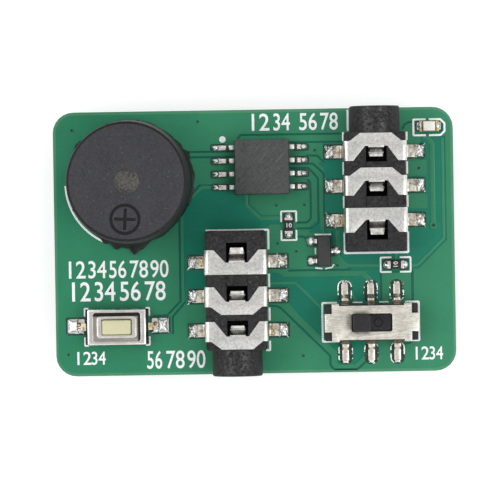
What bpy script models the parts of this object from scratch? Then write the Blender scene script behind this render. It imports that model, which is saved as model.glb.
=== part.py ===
"""Morse code practice oscillator: a small circuit board with a buzzer, two 3.5 mm jacks,
a push button, a slide switch, a chip, a few small parts and a coin cell underneath.

Metres, +Z up. The origin is on the surface that the part stands on, under the middle of
the board. +X runs along the board towards the slide switch, and +Y towards the edge that
the output jack looks out of.
"""

import math

import bmesh
import bpy
from mathutils import Matrix, Vector

MM = 0.001

# Fits between pieces
SEAT_GAP = 0.02 * MM
FIT_GAP = 0.03 * MM
CUT_OVERRUN = 0.6 * MM
WELD = 0.0001 * MM

# Solids are worked this many times larger, because Blender's Booleans and fills are too
# coarse for them in metres, and piece() brings each one back to its real size
BENCH = 1000
FLAT_ANGLE = math.radians(0.1)
SMOOTH_ANGLE = math.radians(35)
CARRIER_SIZE = 2.5 * MM

# Steps of round shapes
LARGE_STEPS = 64
MIDDLE_STEPS = 36
SMALL_STEPS = 16
VIA_STEPS = 8
CORNER_STEPS = 6
BEND_STEPS = 4

# Circuit board
BOARD_LENGTH = 38.5 * MM
BOARD_DEPTH = 25.4 * MM
BOARD_THICKNESS = 1.6 * MM
BOARD_CORNER_RADIUS = 2.0 * MM
VIA_RADIUS = 0.15 * MM
VIA_SHARES = (
    (-0.904, 0.862),
    (-0.275, 0.916),
    (-0.939, -0.835),
    (0.308, 0.685),
    (0.826, 0.538),
    (0.111, 0.273),
    (0.252, 0.273),
    (0.895, 0.105),
    (0.235, -0.869),
    (0.114, -0.016),
    (0.208, -0.079),
    (0.413, -0.189),
)

# Layout: each gap as a share of the room that the components of its row or column leave,
# from the board's left or front edge on
BACK_ROW_SHARES = (0.1048, 0.2642, 0.2851)
FRONT_ROW_SHARES = (0.1491, 0.2638, 0.3104)
LEFT_COLUMN_SHARES = (0.3213, 0.6255)
MIDDLE_COLUMN_SHARES = (0.5412,)
RIGHT_COLUMN_SHARES = (0.3235, 0.4059)
BETWEEN_JACKS_SHARES = (0.3866, 0.4189)
BESIDE_OUTPUT_JACK_SHARES = (0.4862,)
BEHIND_PADDLE_JACK_SHARES = (0.1530,)
UNDERSIDE_SHARES = (0.8906,)

# Coin cell
CELL_RADIUS = 10.0 * MM
CELL_THICKNESS = 3.2 * MM
CELL_EDGE_ROUND = 0.4 * MM
CELL_LIP_WIDTH = 0.7 * MM
CELL_GROOVE_WIDTH = 0.5 * MM
CELL_CAP_RISE = 0.25 * MM
CELL_GROOVE_DEPTH = 0.15 * MM

# Cell retainer
RETAINER_SHEET = 0.3 * MM
RETAINER_BEND = 0.5 * MM
RETAINER_WIDTH = 9.0 * MM
RETAINER_SIDE_ROOM = 0.6 * MM
RETAINER_FOOT_LENGTH = 2.1 * MM
RETAINER_FOOT_WIDTH = 3.0 * MM
RETAINER_STEP_PAST_BEND = 0.1 * MM
RETAINER_STOP_THICKNESS = 0.3 * MM
RETAINER_STOP_MARGIN = 0.7 * MM
RETAINER_TONGUE_LENGTH = 5.0 * MM
RETAINER_TONGUE_WIDTH = 2.6 * MM
RETAINER_TONGUE_OFFSET = 1.6 * MM
RETAINER_SLOT = 0.5 * MM

# Buzzer, upwards from the board's upper face
BUZZER_HEIGHT = 9.5 * MM
BUZZER_TOP_RADIUS = 5.78 * MM
BUZZER_FOOT_RADIUS = 6.0 * MM
BUZZER_WALL = 0.8 * MM
BUZZER_LID = 0.9 * MM
BUZZER_EDGE_ROUND = 0.35 * MM
BUZZER_SOUND_HOLE_RADIUS = 1.18 * MM
BUZZER_LEDGE = 0.5 * MM
BUZZER_LEDGE_HEIGHT = 6.6 * MM
BUZZER_RESIN_RADIUS = 6.3 * MM
BUZZER_RESIN_THICKNESS = 0.5 * MM
BUZZER_BASE_THICKNESS = 0.8 * MM
BUZZER_PIN_PITCH = 7.6 * MM
BUZZER_PIN_RADIUS = 0.3 * MM
BUZZER_PIN_BELOW_BOARD = 1.1 * MM
BUZZER_PIN_HOLE_ROOM = 0.15 * MM
BUZZER_YOKE_RADIUS = 4.9 * MM
BUZZER_YOKE_THICKNESS = 0.6 * MM
BUZZER_POLE_RADIUS = 1.0 * MM
BUZZER_POLE_ROOM = 0.25 * MM
BUZZER_COIL_RADIUS = 2.8 * MM
BUZZER_COIL_HEIGHT = 3.2 * MM
BUZZER_MAGNET_INNER_RADIUS = 3.4 * MM
BUZZER_MAGNET_RADIUS = 4.8 * MM
BUZZER_DIAPHRAGM_THICKNESS = 0.1 * MM
BUZZER_WEIGHT_RADIUS = 1.6 * MM
BUZZER_WEIGHT_THICKNESS = 0.4 * MM
BUZZER_MARK_FROM_MIDDLE = 3.55 * MM
BUZZER_MARK_RADIUS = 1.4 * MM
BUZZER_MARK_LINE = 0.3 * MM
BUZZER_MARK_ARM = 2.1 * MM
BUZZER_MARK_DEPTH = 0.12 * MM

# Jacks, each measured from the end of its nose towards the back of its housing
JACK_OVERHANG = 0.1 * MM
JACK_WIDTH = 6.0 * MM
JACK_HEIGHT = 5.0 * MM
JACK_HOUSING_LENGTH = 11.4 * MM
JACK_EDGE_ROUND = 0.15 * MM
JACK_NOSE_LENGTH = 2.5 * MM
JACK_NOSE_RADIUS = 2.47 * MM
JACK_NOSE_CHAMFER = 0.12 * MM
JACK_BORE_RADIUS = 1.8 * MM
JACK_REAR_WALL = 1.2 * MM
JACK_PEG_RADIUS = 0.45 * MM
JACK_PEG_LENGTH = 1.2 * MM
JACK_PEG_HOLE_ROOM = 0.08 * MM
JACK_FRONT_PEG_FROM_NOSE = 4.6 * MM
JACK_PEG_PITCH = 7.0 * MM

# Jack contacts: stamped straps over the housing, outlines about the middle of their legs
STRAP_SHEET = 0.2 * MM
STRAP_BEND = 0.35 * MM
STRAP_SIDE_INSET = 0.1 * MM
STRAP_TOP_INSET = 0.05 * MM
STRAP_FIRST_FROM_NOSE = 4.3 * MM
STRAP_PITCH = 3.3 * MM
STRAP_LEG_WIDTH = 1.9 * MM
STRAP_LEG_INNER_X = 2.2 * MM
STRAP_CROWN_Y = 1.7 * MM
STRAP_CROWN_X = 1.53 * MM
STRAP_SHOULDER_X = 2.54 * MM
STRAP_NOTCH_Y = 0.46 * MM
STRAP_NOTCH_X = 1.07 * MM
STRAP_FOOT_WIDTH = 1.2 * MM
STRAP_NECK_WIDTH = 1.36 * MM
STRAP_FOOT_LENGTH = 1.1 * MM
STRAP_NECK_BOTTOM = 1.4 * MM
STRAP_NECK_TOP = 2.1 * MM
TIP_STRAP_LEG_WIDTH = 2.35 * MM
TIP_STRAP_NOTCH_Y = 0.03 * MM
TONGUE_SHEET = 0.16 * MM
TONGUE_WIDTH = 1.5 * MM
TONGUE_REACH = 1.05 * MM
TIP_TONGUE_REACH = 1.45 * MM
TONGUE_DIP = 0.72 * MM
TONGUE_PATH_SHARES = ((-0.3, 0.0), (0.05, 0.0), (0.55, -1.0), (1.0, -0.55))
WINDOW_SIDE_ROOM = 0.25 * MM
WINDOW_END_ROOM = 0.45 * MM
WINDOW_FRONT_ROOM = 0.12 * MM

# Slide switch
SLIDE_BASE_LENGTH = 8.84 * MM
SLIDE_BASE_DEPTH = 3.44 * MM
SLIDE_BASE_HEIGHT = 2.75 * MM
SLIDE_FLOOR = 0.7 * MM
SLIDE_WELL_DEPTH = 2.0 * MM
SLIDE_COVER_SHEET = 0.2 * MM
SLIDE_COVER_INSET = 0.12 * MM
SLIDE_COVER_MAIN_LENGTH = 7.65 * MM
SLIDE_COVER_END_TAB = 1.75 * MM
SLIDE_COVER_CORNER_TAB = 0.7 * MM
SLIDE_COVER_SKIRT = 1.6 * MM
SLIDE_COVER_BEND = 0.12 * MM
SLIDE_WINDOW_LENGTH = 3.9 * MM
SLIDE_WINDOW_DEPTH = 1.73 * MM
SLIDE_TRAVEL = 2.0 * MM
SLIDE_KNOB_LENGTH = 1.65 * MM
SLIDE_KNOB_DEPTH = 1.6 * MM
SLIDE_KNOB_RISE = 1.5 * MM
SLIDE_PLATE_THICKNESS = 0.7 * MM
SLIDE_KNOB_ROUND = 0.08 * MM
SLIDE_PIN_PITCH = 2.5 * MM
SLIDE_PIN_WIDTH = 0.65 * MM
SLIDE_PIN_SHEET = 0.2 * MM
SLIDE_PIN_BEND = 0.2 * MM
SLIDE_PIN_REACH = 3.7 * MM
SLIDE_PIN_FOOT = 1.1 * MM
SLIDE_PIN_SLOPE = 0.3 * MM
SLIDE_PIN_INNER_END = 0.3 * MM
BRIDGE_SHEET = 0.12 * MM
BRIDGE_WIDTH = 0.5 * MM
BRIDGE_Y = 0.62 * MM
BRIDGE_TIP = 0.3 * MM
BRIDGE_TIP_RISE = 0.3 * MM
BRIDGE_SLOPE = 0.5 * MM

# Push button switch
TACT_BASE_LENGTH = 6.0 * MM
TACT_BASE_DEPTH = 3.4 * MM
TACT_BASE_HEIGHT = 1.0 * MM
TACT_WELL_LENGTH = 4.0 * MM
TACT_WELL_DEPTH = 2.5 * MM
TACT_WELL_FLOOR = 0.5 * MM
TACT_COVER_LENGTH = 5.65 * MM
TACT_COVER_SHEET = 0.18 * MM
TACT_COVER_TOP = 1.6 * MM
TACT_COVER_THICKNESS = 0.45 * MM
TACT_COVER_BOTTOM = 0.3 * MM
TACT_COVER_BEND = 0.15 * MM
TACT_END_TAB = 1.6 * MM
TACT_END_INSET = 0.3 * MM
TACT_TROUGH_LENGTH = 4.6 * MM
TACT_TROUGH_DEPTH = 2.8 * MM
TACT_TROUGH_FLOOR = 1.35 * MM
TACT_RIM_LENGTH = 3.75 * MM
TACT_RIM_DEPTH = 2.05 * MM
TACT_RIM_TOP = 1.75 * MM
TACT_CORNER_RADIUS = 0.3 * MM
TACT_BUTTON_LENGTH = 2.73 * MM
TACT_BUTTON_DEPTH = 1.36 * MM
TACT_BUTTON_TOP = 2.5 * MM
TACT_BUTTON_ROUND = 0.08 * MM
TACT_BUTTON_ROOM = 0.08 * MM
TACT_BUTTON_FLANGE = 0.3 * MM
TACT_BUTTON_FLANGE_THICKNESS = 0.2 * MM
TACT_DOME_RADIUS = 1.1 * MM
TACT_DOME_SHEET = 0.05 * MM
TACT_PIN_WIDTH = 0.7 * MM
TACT_PIN_SHEET = 0.15 * MM
TACT_PIN_BEND = 0.12 * MM
TACT_PIN_REACH = 3.95 * MM
TACT_PIN_RISE_X = 1.75 * MM
TACT_PIN_SLOPE = 0.25 * MM
TACT_PIN_INNER_END = 0.9 * MM

# Chip
CHIP_LENGTH = 5.29 * MM
CHIP_WIDTH = 5.29 * MM
CHIP_BOTTOM = 0.1 * MM
CHIP_TOP = 1.9 * MM
CHIP_PARTING = 1.0 * MM
CHIP_DRAFT = 0.1 * MM
CHIP_DIMPLE_RADIUS = 0.42 * MM
CHIP_DIMPLE_DEPTH = 0.08 * MM
CHIP_DIMPLE_INSET = 0.7 * MM
CHIP_LEADS_PER_SIDE = 4
CHIP_LEAD_PITCH = 1.27 * MM
CHIP_LEAD_WIDTH = 0.42 * MM
CHIP_LEAD_SHEET = 0.2 * MM
CHIP_LEAD_BEND = 0.2 * MM
CHIP_LEAD_SPAN = 7.9 * MM
CHIP_LEAD_FOOT = 0.6 * MM
CHIP_LEAD_SHOULDER = 0.45 * MM

# Transistor
TRANSISTOR_FROM_JACK_FEET = 0.825 * MM
TRANSISTOR_WIDTH = 1.3 * MM
TRANSISTOR_LENGTH = 2.95 * MM
TRANSISTOR_BOTTOM = 0.06 * MM
TRANSISTOR_TOP = 1.05 * MM
TRANSISTOR_PARTING = 0.55 * MM
TRANSISTOR_DRAFT = 0.08 * MM
TRANSISTOR_LEAD_WIDTH = 0.42 * MM
TRANSISTOR_LEAD_SHEET = 0.13 * MM
TRANSISTOR_LEAD_BEND = 0.13 * MM
TRANSISTOR_LEAD_SPAN = 2.45 * MM
TRANSISTOR_LEAD_FOOT = 0.25 * MM
TRANSISTOR_LEAD_SHOULDER = 0.12 * MM
TRANSISTOR_PAIR_PITCH = 1.9 * MM

# Chip resistors
RESISTOR_2_FROM_JACK_MIDDLE = 1.83 * MM
RESISTOR_LENGTH = 1.6 * MM
RESISTOR_WIDTH = 0.8 * MM
RESISTOR_HEIGHT = 0.45 * MM
RESISTOR_CAP = 0.3 * MM
RESISTOR_ROUND = 0.04 * MM

# Power light
LED_FROM_BACK = 1.85 * MM
LED_LENGTH = 2.0 * MM
LED_WIDTH = 1.2 * MM
LED_BASE_THICKNESS = 0.3 * MM
LED_TERMINAL = 0.32 * MM
LED_LENS_LENGTH = 1.3 * MM
LED_LENS_WIDTH = 1.1 * MM
LED_LENS_HEIGHT = 0.5 * MM
LED_LENS_DRAFT = 0.06 * MM

# Colours, roughness and metallic of each finish
LOOKS = {
    "solder_mask": ((0.035, 0.21, 0.12), 0.35, 0.0),
    "black_moulding": ((0.045, 0.045, 0.05), 0.55, 0.0),
    "black_resin": ((0.02, 0.02, 0.022), 0.3, 0.0),
    "chip_moulding": ((0.07, 0.07, 0.075), 0.5, 0.0),
    "phenolic": ((0.3, 0.17, 0.07), 0.6, 0.0),
    "ferrite": ((0.1, 0.1, 0.105), 0.6, 0.0),
    "magnet_wire": ((0.45, 0.18, 0.07), 0.35, 1.0),
    "soft_iron": ((0.35, 0.35, 0.36), 0.4, 1.0),
    "diaphragm_steel": ((0.42, 0.39, 0.33), 0.5, 1.0),
    "nickel": ((0.66, 0.64, 0.6), 0.3, 1.0),
    "tin": ((0.72, 0.72, 0.71), 0.3, 1.0),
    "spring_steel": ((0.6, 0.58, 0.52), 0.3, 1.0),
    "cream_plastic": ((0.7, 0.68, 0.44), 0.5, 0.0),
    "resistor_ceramic": ((0.03, 0.03, 0.035), 0.4, 0.0),
    "led_laminate": ((0.75, 0.72, 0.62), 0.5, 0.0),
    "led_lens": ((0.62, 0.66, 0.5), 0.2, 0.0),
    "gold_plate": ((0.75, 0.56, 0.25), 0.3, 1.0),
    "cell_steel": ((0.62, 0.62, 0.6), 0.28, 1.0),
}

# Heights worked out from the sizes
BOARD_BOTTOM_Z = RETAINER_SHEET + FIT_GAP + CELL_THICKNESS + FIT_GAP
BOARD_TOP_Z = BOARD_BOTTOM_Z + BOARD_THICKNESS

# Room that each component takes on the board
BUZZER_SPAN = 2 * BUZZER_RESIN_RADIUS
JACK_WALL_X = JACK_WIDTH / 2 - STRAP_SIDE_INSET + FIT_GAP + STRAP_SHEET / 2
JACK_SPAN = 2 * JACK_WALL_X + STRAP_SHEET + 2 * STRAP_FOOT_LENGTH
JACK_LENGTH = JACK_NOSE_LENGTH + JACK_HOUSING_LENGTH
SLIDE_COVER_X = SLIDE_BASE_LENGTH / 2 - SLIDE_COVER_INSET + FIT_GAP
SLIDE_SPAN = 2 * SLIDE_COVER_X + 2 * SLIDE_COVER_SHEET
RETAINER_LEG_X = CELL_RADIUS + RETAINER_SIDE_ROOM + RETAINER_SHEET / 2
RETAINER_SPAN = 2 * RETAINER_LEG_X + 2 * RETAINER_FOOT_LENGTH


def spread(low, high, spans, shares):
    """The middles of components set out from low to high, with shares of the room they leave
    before each of them."""
    room = high - low - sum(spans)
    middles = []
    at = low
    for span, share in zip(spans, shares):
        middles.append(at + share * room + span / 2)
        at += share * room + span
    return middles


# Places of the components, by row and column
LEFT, RIGHT = -BOARD_LENGTH / 2, BOARD_LENGTH / 2
FRONT, BACK = -BOARD_DEPTH / 2, BOARD_DEPTH / 2
JACK_NOSE_Y = BACK + JACK_OVERHANG
OUTPUT_JACK_REAR_Y = JACK_NOSE_Y - JACK_LENGTH
PADDLE_JACK_REAR_Y = JACK_LENGTH - JACK_NOSE_Y
BUZZER_X, CHIP_X, OUTPUT_JACK_X = spread(
    LEFT, RIGHT, (BUZZER_SPAN, CHIP_LEAD_SPAN, JACK_SPAN), BACK_ROW_SHARES
)
TACT_X, PADDLE_JACK_X, SLIDE_X = spread(
    LEFT, RIGHT, (2 * TACT_PIN_REACH, JACK_SPAN, SLIDE_SPAN), FRONT_ROW_SHARES
)
TACT_Y, BUZZER_Y = spread(FRONT, BACK, (TACT_BASE_DEPTH, BUZZER_SPAN), LEFT_COLUMN_SHARES)
(CHIP_Y,) = spread(PADDLE_JACK_REAR_Y, BACK, (CHIP_LENGTH,), MIDDLE_COLUMN_SHARES)
SLIDE_Y, RESISTOR_2_Y = spread(
    FRONT, OUTPUT_JACK_REAR_Y, (2 * SLIDE_PIN_REACH, RESISTOR_WIDTH), RIGHT_COLUMN_SHARES
)
RESISTOR_2_X = OUTPUT_JACK_X + RESISTOR_2_FROM_JACK_MIDDLE
RESISTOR_1_X, TRANSISTOR_X = spread(
    PADDLE_JACK_X + JACK_WIDTH / 2,
    OUTPUT_JACK_X - JACK_WIDTH / 2,
    (RESISTOR_WIDTH, TRANSISTOR_LEAD_SPAN),
    BETWEEN_JACKS_SHARES,
)
(RESISTOR_1_Y,) = spread(
    PADDLE_JACK_REAR_Y - RESISTOR_LENGTH / 2,
    CHIP_Y - CHIP_LENGTH / 2,
    (RESISTOR_LENGTH,),
    BEHIND_PADDLE_JACK_SHARES,
)
JACK_TIP_FROM_NOSE = STRAP_FIRST_FROM_NOSE + 2 * STRAP_PITCH
TRANSISTOR_Y = (
    JACK_NOSE_Y
    - JACK_TIP_FROM_NOSE
    - STRAP_FOOT_WIDTH / 2
    - TRANSISTOR_FROM_JACK_FEET
    - TRANSISTOR_LENGTH / 2
)
(LED_X,) = spread(
    OUTPUT_JACK_X + JACK_WIDTH / 2, RIGHT, (LED_LENGTH,), BESIDE_OUTPUT_JACK_SHARES
)
LED_Y = BACK - LED_FROM_BACK
(CELL_X,) = spread(LEFT, RIGHT, (RETAINER_SPAN,), UNDERSIDE_SHARES)


def clear_scene():
    for obj in list(bpy.data.objects):
        bpy.data.objects.remove(obj)


def new_collection(name):
    collection = bpy.data.collections.new(name)
    bpy.context.scene.collection.children.link(collection)
    return collection


def make_looks():
    looks = {}
    for name, (colour, roughness, metallic) in LOOKS.items():
        material = bpy.data.materials.new(name)
        material.use_nodes = True
        shader = material.node_tree.nodes["Principled BSDF"]
        shader.inputs["Base Color"].default_value = (*colour, 1.0)
        shader.inputs["Roughness"].default_value = roughness
        shader.inputs["Metallic"].default_value = metallic
        material.diffuse_color = (*colour, 1.0)
        looks[name] = material
    return looks


clear_scene()
PARTS = new_collection("morse_practice_oscillator")
CUTTERS = new_collection("cutters")
CUTTERS.hide_render = True
MATERIALS = make_looks()

# Outlines in a plane


def circle(middle, radius, steps):
    """A round outline, anticlockwise."""
    turns = [math.tau * step / steps for step in range(steps)]
    return [(middle[0] + radius * math.cos(a), middle[1] + radius * math.sin(a)) for a in turns]


def rounded_rectangle(length, depth, radius):
    u, v = length / 2 - radius, depth / 2 - radius
    outline = []
    for quarter, (x, y) in enumerate(((u, v), (-u, v), (-u, -v), (u, -v))):
        for step in range(CORNER_STEPS + 1):
            angle = math.pi / 2 * (quarter + step / CORNER_STEPS)
            outline.append((x + radius * math.cos(angle), y + radius * math.sin(angle)))
    return outline


def offset(points, distance, closed):
    """The points moved to their right by a distance, with mitred corners."""
    points = [Vector(point) for point in points]
    count = len(points)
    moved = []
    for i, point in enumerate(points):
        before = points[i - 1] if closed or i else None
        after = points[(i + 1) % count] if closed or i + 1 < count else None
        runs = []
        if before is not None:
            runs.append((point - before).normalized())
        if after is not None:
            runs.append((after - point).normalized())
        rights = [Vector((run.y, -run.x)) for run in runs]
        middle = sum(rights, Vector((0, 0))).normalized()
        moved.append(point + middle * (distance / middle.dot(rights[0])))
    return [(point.x, point.y) for point in moved]


def bent_path(corners, radius):
    """An open path through the corners, each inner one turned into an arc."""
    corners = [Vector(corner) for corner in corners]
    path = [corners[0]]
    for before, corner, after in zip(corners, corners[1:], corners[2:]):
        back = (before - corner).normalized()
        on = (after - corner).normalized()
        half = back.angle(on) / 2
        centre = corner + (back + on).normalized() * (radius / math.sin(half))
        start = corner + back * (radius / math.tan(half)) - centre
        end = corner + on * (radius / math.tan(half)) - centre
        turn = math.atan2(start.x * end.y - start.y * end.x, start.dot(end))
        for step in range(BEND_STEPS + 1):
            path.append(centre + Matrix.Rotation(turn * step / BEND_STEPS, 2) @ start)
    path.append(corners[-1])
    return path


def strip(corners, sheet, radius):
    """The outline of a bent sheet seen along its bends."""
    path = bent_path(corners, radius)
    right = offset(path, sheet / 2, False)
    left = offset(path, -sheet / 2, False)
    return right + left[::-1]


# Solids, each worked at bench size in the cutters' collection until it is finished

PLANES = {
    "XY": Matrix.Identity(4),
    "XZ": Matrix(((1, 0, 0, 0), (0, 0, -1, 0), (0, 1, 0, 0), (0, 0, 0, 1))),
    "YZ": Matrix(((0, 0, 1, 0), (1, 0, 0, 0), (0, 1, 0, 0), (0, 0, 0, 1))),
}


def solid(mesh, scale=BENCH):
    """A working object around a mesh whose loose caps are welded and whose faces point out."""
    mesh.transform(Matrix.Scale(scale, 4))
    work = bmesh.new()
    work.from_mesh(mesh)
    bmesh.ops.remove_doubles(work, verts=work.verts, dist=WELD * BENCH)
    bmesh.ops.dissolve_limit(
        work, angle_limit=FLAT_ANGLE, verts=work.verts, edges=work.edges
    )
    bmesh.ops.recalc_face_normals(work, faces=work.faces)
    work.to_mesh(mesh)
    work.free()
    obj = bpy.data.objects.new("solid", mesh)
    obj.display_type = "WIRE"
    CUTTERS.objects.link(obj)
    return obj


def baked(obj):
    """The mesh of an object after its modifiers."""
    bpy.context.view_layer.update()
    graph = bpy.context.evaluated_depsgraph_get()
    return bpy.data.meshes.new_from_object(obj.evaluated_get(graph))


def extruded(plane, loops, low, high):
    """Outlines in a plane, the later ones holes in the first, drawn out from low to high."""
    curve = bpy.data.curves.new("outline", "CURVE")
    curve.dimensions = "2D"
    curve.fill_mode = "BOTH"
    curve.extrude = (high - low) / 2 * BENCH
    for loop in loops:
        spline = curve.splines.new("POLY")
        spline.points.add(len(loop) - 1)
        for point, (u, v) in zip(spline.points, loop):
            point.co = (u * BENCH, v * BENCH, 0, 1)
        spline.use_cyclic_u = True
    guide = bpy.data.objects.new("outline", curve)
    CUTTERS.objects.link(guide)
    mesh = baked(guide)
    bpy.data.objects.remove(guide)
    middle = Matrix.Translation((0, 0, (low + high) / 2 * BENCH))
    mesh.transform(PLANES[plane] @ middle)
    return solid(mesh, scale=1)


def block(low, high):
    """A box between two corners."""
    low, high = Vector(low), Vector(high)
    mesh = bpy.data.meshes.new("block")
    work = bmesh.new()
    bmesh.ops.create_cube(work, size=1)
    bmesh.ops.scale(work, vec=high - low, verts=work.verts)
    bmesh.ops.translate(work, vec=(low + high) / 2, verts=work.verts)
    work.to_mesh(mesh)
    work.free()
    return solid(mesh)


def centred_block(length, depth, low, high, middle=(0, 0)):
    x, y = middle
    return block(
        (x - length / 2, y - depth / 2, low), (x + length / 2, y + depth / 2, high)
    )


def tapered_block(length, depth, levels):
    """A moulded block, with levels of (height, inset) from its bottom to its top."""
    mesh = bpy.data.meshes.new("tapered_block")
    work = bmesh.new()
    bmesh.ops.create_grid(work, x_segments=1, y_segments=1, size=1)
    top = work.faces[:]
    for level, (height, inset) in enumerate(levels):
        if level:
            grown = bmesh.ops.extrude_face_region(work, geom=top)["geom"]
            if level > 1:
                bmesh.ops.delete(work, geom=top, context="FACES_ONLY")
            top = [item for item in grown if isinstance(item, bmesh.types.BMFace)]
        x, y = length / 2 - inset, depth / 2 - inset
        for vert in top[0].verts:
            vert.co = (math.copysign(x, vert.co.x), math.copysign(y, vert.co.y), height)
    work.to_mesh(mesh)
    work.free()
    return solid(mesh)


def rod(radius, low, high, steps, middle=(0, 0)):
    """An upright round bar."""
    mesh = bpy.data.meshes.new("rod")
    work = bmesh.new()
    bmesh.ops.create_cone(
        work,
        cap_ends=True,
        segments=steps,
        radius1=radius,
        radius2=radius,
        depth=high - low,
    )
    bmesh.ops.translate(work, vec=(*middle, (low + high) / 2), verts=work.verts)
    work.to_mesh(mesh)
    work.free()
    return solid(mesh)


def turned(profile, steps, closed=False):
    """A profile of (radius, height), running down its outer side, spun about Z."""
    mesh = bpy.data.meshes.new("profile")
    points = [(radius * BENCH, 0, height * BENCH) for radius, height in profile]
    edges = [(i, i + 1) for i in range(len(points) - 1)]
    if closed:
        edges.append((len(points) - 1, 0))
    mesh.from_pydata(points, edges, [])
    guide = bpy.data.objects.new("profile", mesh)
    CUTTERS.objects.link(guide)
    screw = guide.modifiers.new("screw", "SCREW")
    screw.steps = steps
    screw.render_steps = steps
    screw.use_merge_vertices = True
    screw.merge_threshold = WELD * BENCH
    spun = baked(guide)
    bpy.data.objects.remove(guide)
    return solid(spun, scale=1)


def combined(obj, tool, operation, solver="EXACT"):
    """The object after a Boolean with the tool, which is used up."""
    boolean = obj.modifiers.new(operation.lower(), "BOOLEAN")
    boolean.operation = operation
    boolean.solver = solver
    boolean.object = tool
    obj.data = baked(obj)
    obj.modifiers.clear()
    bpy.data.objects.remove(tool)
    return obj


def carve(obj, *tools):
    for tool in tools:
        combined(obj, tool, "DIFFERENCE")
    return obj


def join(obj, *tools):
    for tool in tools:
        combined(obj, tool, "UNION")
    return obj


def keep_inside(obj, *tools):
    for tool in tools:
        combined(obj, tool, "INTERSECT")
    return obj


def softened(obj, width, segments=1):
    """The object with its sharp edges bevelled."""
    bevel = obj.modifiers.new("bevel", "BEVEL")
    bevel.width = width * BENCH
    bevel.segments = segments
    bevel.limit_method = "ANGLE"
    obj.data = baked(obj)
    obj.modifiers.clear()
    return obj


def moved(obj, y=0, z=0, turn=0, axis="Z"):
    """The object's mesh turned about an axis and then moved."""
    place = Matrix.Translation((0, y * BENCH, z * BENCH))
    obj.data.transform(place @ Matrix.Rotation(turn, 4, axis))
    return obj


def carrier(name, x, y, z, turn=0):
    """An empty that carries one component at its place on the board."""
    empty = bpy.data.objects.new(name, None)
    empty.empty_display_size = CARRIER_SIZE
    empty.location = (x, y, z)
    empty.rotation_euler = (0, 0, turn)
    PARTS.objects.link(empty)
    return empty


def piece(name, obj, look, parent=None, at=(0, 0, 0), turn=0):
    """Names a finished solid, gives it its material and sets it on its carrier."""
    mesh = obj.data
    mesh.transform(Matrix.Scale(1 / BENCH, 4))
    mesh.name = name
    mesh.materials.clear()
    mesh.materials.append(MATERIALS[look])
    mesh.shade_smooth()
    mesh.set_sharp_from_angle(angle=SMOOTH_ANGLE)
    CUTTERS.objects.unlink(obj)
    PARTS.objects.link(obj)
    obj.name = name
    obj.display_type = "TEXTURED"
    obj.parent = parent
    obj.location = at
    obj.rotation_euler = (0, 0, turn)
    return obj


def copied(name, source, parent, at=(0, 0, 0), turn=0):
    """One more piece of the same mesh."""
    copy = source.copy()
    copy.name = name
    copy.parent = parent
    copy.location = at
    copy.rotation_euler = (0, 0, turn)
    PARTS.objects.link(copy)
    return copy


# Circuit board


def jack_peg_places():
    """Board places of both jacks' locating pegs."""
    places = []
    for x, nose_y, way in ((OUTPUT_JACK_X, JACK_NOSE_Y, -1), (PADDLE_JACK_X, -JACK_NOSE_Y, 1)):
        for distance in (JACK_FRONT_PEG_FROM_NOSE, JACK_FRONT_PEG_FROM_NOSE + JACK_PEG_PITCH):
            places.append((x, nose_y + way * distance))
    return places


def build_board():
    loops = [rounded_rectangle(BOARD_LENGTH, BOARD_DEPTH, BOARD_CORNER_RADIUS)]
    for side in (-1, 1):
        place = (BUZZER_X, BUZZER_Y + side * BUZZER_PIN_PITCH / 2)
        radius = BUZZER_PIN_RADIUS + BUZZER_PIN_HOLE_ROOM
        loops.append(circle(place, radius, SMALL_STEPS))
    for place in jack_peg_places():
        loops.append(circle(place, JACK_PEG_RADIUS + JACK_PEG_HOLE_ROOM, SMALL_STEPS))
    for x_share, y_share in VIA_SHARES:
        place = (x_share * BOARD_LENGTH / 2, y_share * BOARD_DEPTH / 2)
        loops.append(circle(place, VIA_RADIUS, VIA_STEPS))
    board = extruded("XY", loops, 0, BOARD_THICKNESS)
    piece("circuit_board", board, "solder_mask", at=(0, 0, BOARD_BOTTOM_Z))


# Coin cell and its retainer


def build_coin_cell():
    """The can faces down and is the positive side. The cap faces the board."""
    round_off = CELL_EDGE_ROUND
    top = CELL_THICKNESS
    lip = CELL_THICKNESS - CELL_CAP_RISE
    lip_radius = CELL_RADIUS - CELL_LIP_WIDTH
    cap_radius = lip_radius - CELL_GROOVE_WIDTH
    profile = [
        (0, top),
        (cap_radius - CELL_CAP_RISE, top),
        (cap_radius, lip - CELL_GROOVE_DEPTH),
        (lip_radius, lip - CELL_GROOVE_DEPTH),
        (lip_radius, lip),
        (CELL_RADIUS - round_off, lip),
        (CELL_RADIUS, lip - round_off),
        (CELL_RADIUS, round_off),
        (CELL_RADIUS - round_off, 0),
        (0, 0),
    ]
    cell = turned(profile, LARGE_STEPS)
    piece("coin_cell", cell, "cell_steel", at=(CELL_X, 0, RETAINER_SHEET + FIT_GAP))


def retainer_tongue_slot(side):
    """The U-shaped slot round one spring tongue of the bridge."""
    root = side * RETAINER_TONGUE_OFFSET
    tip = root + side * RETAINER_TONGUE_LENGTH
    end = tip + side * RETAINER_SLOT
    inner = RETAINER_TONGUE_WIDTH / 2
    outer = inner + RETAINER_SLOT
    slot = [
        (root, -outer),
        (end, -outer),
        (end, outer),
        (root, outer),
        (root, inner),
        (tip, inner),
        (tip, -inner),
        (root, -inner),
    ]
    return slot if side > 0 else slot[::-1]


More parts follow.
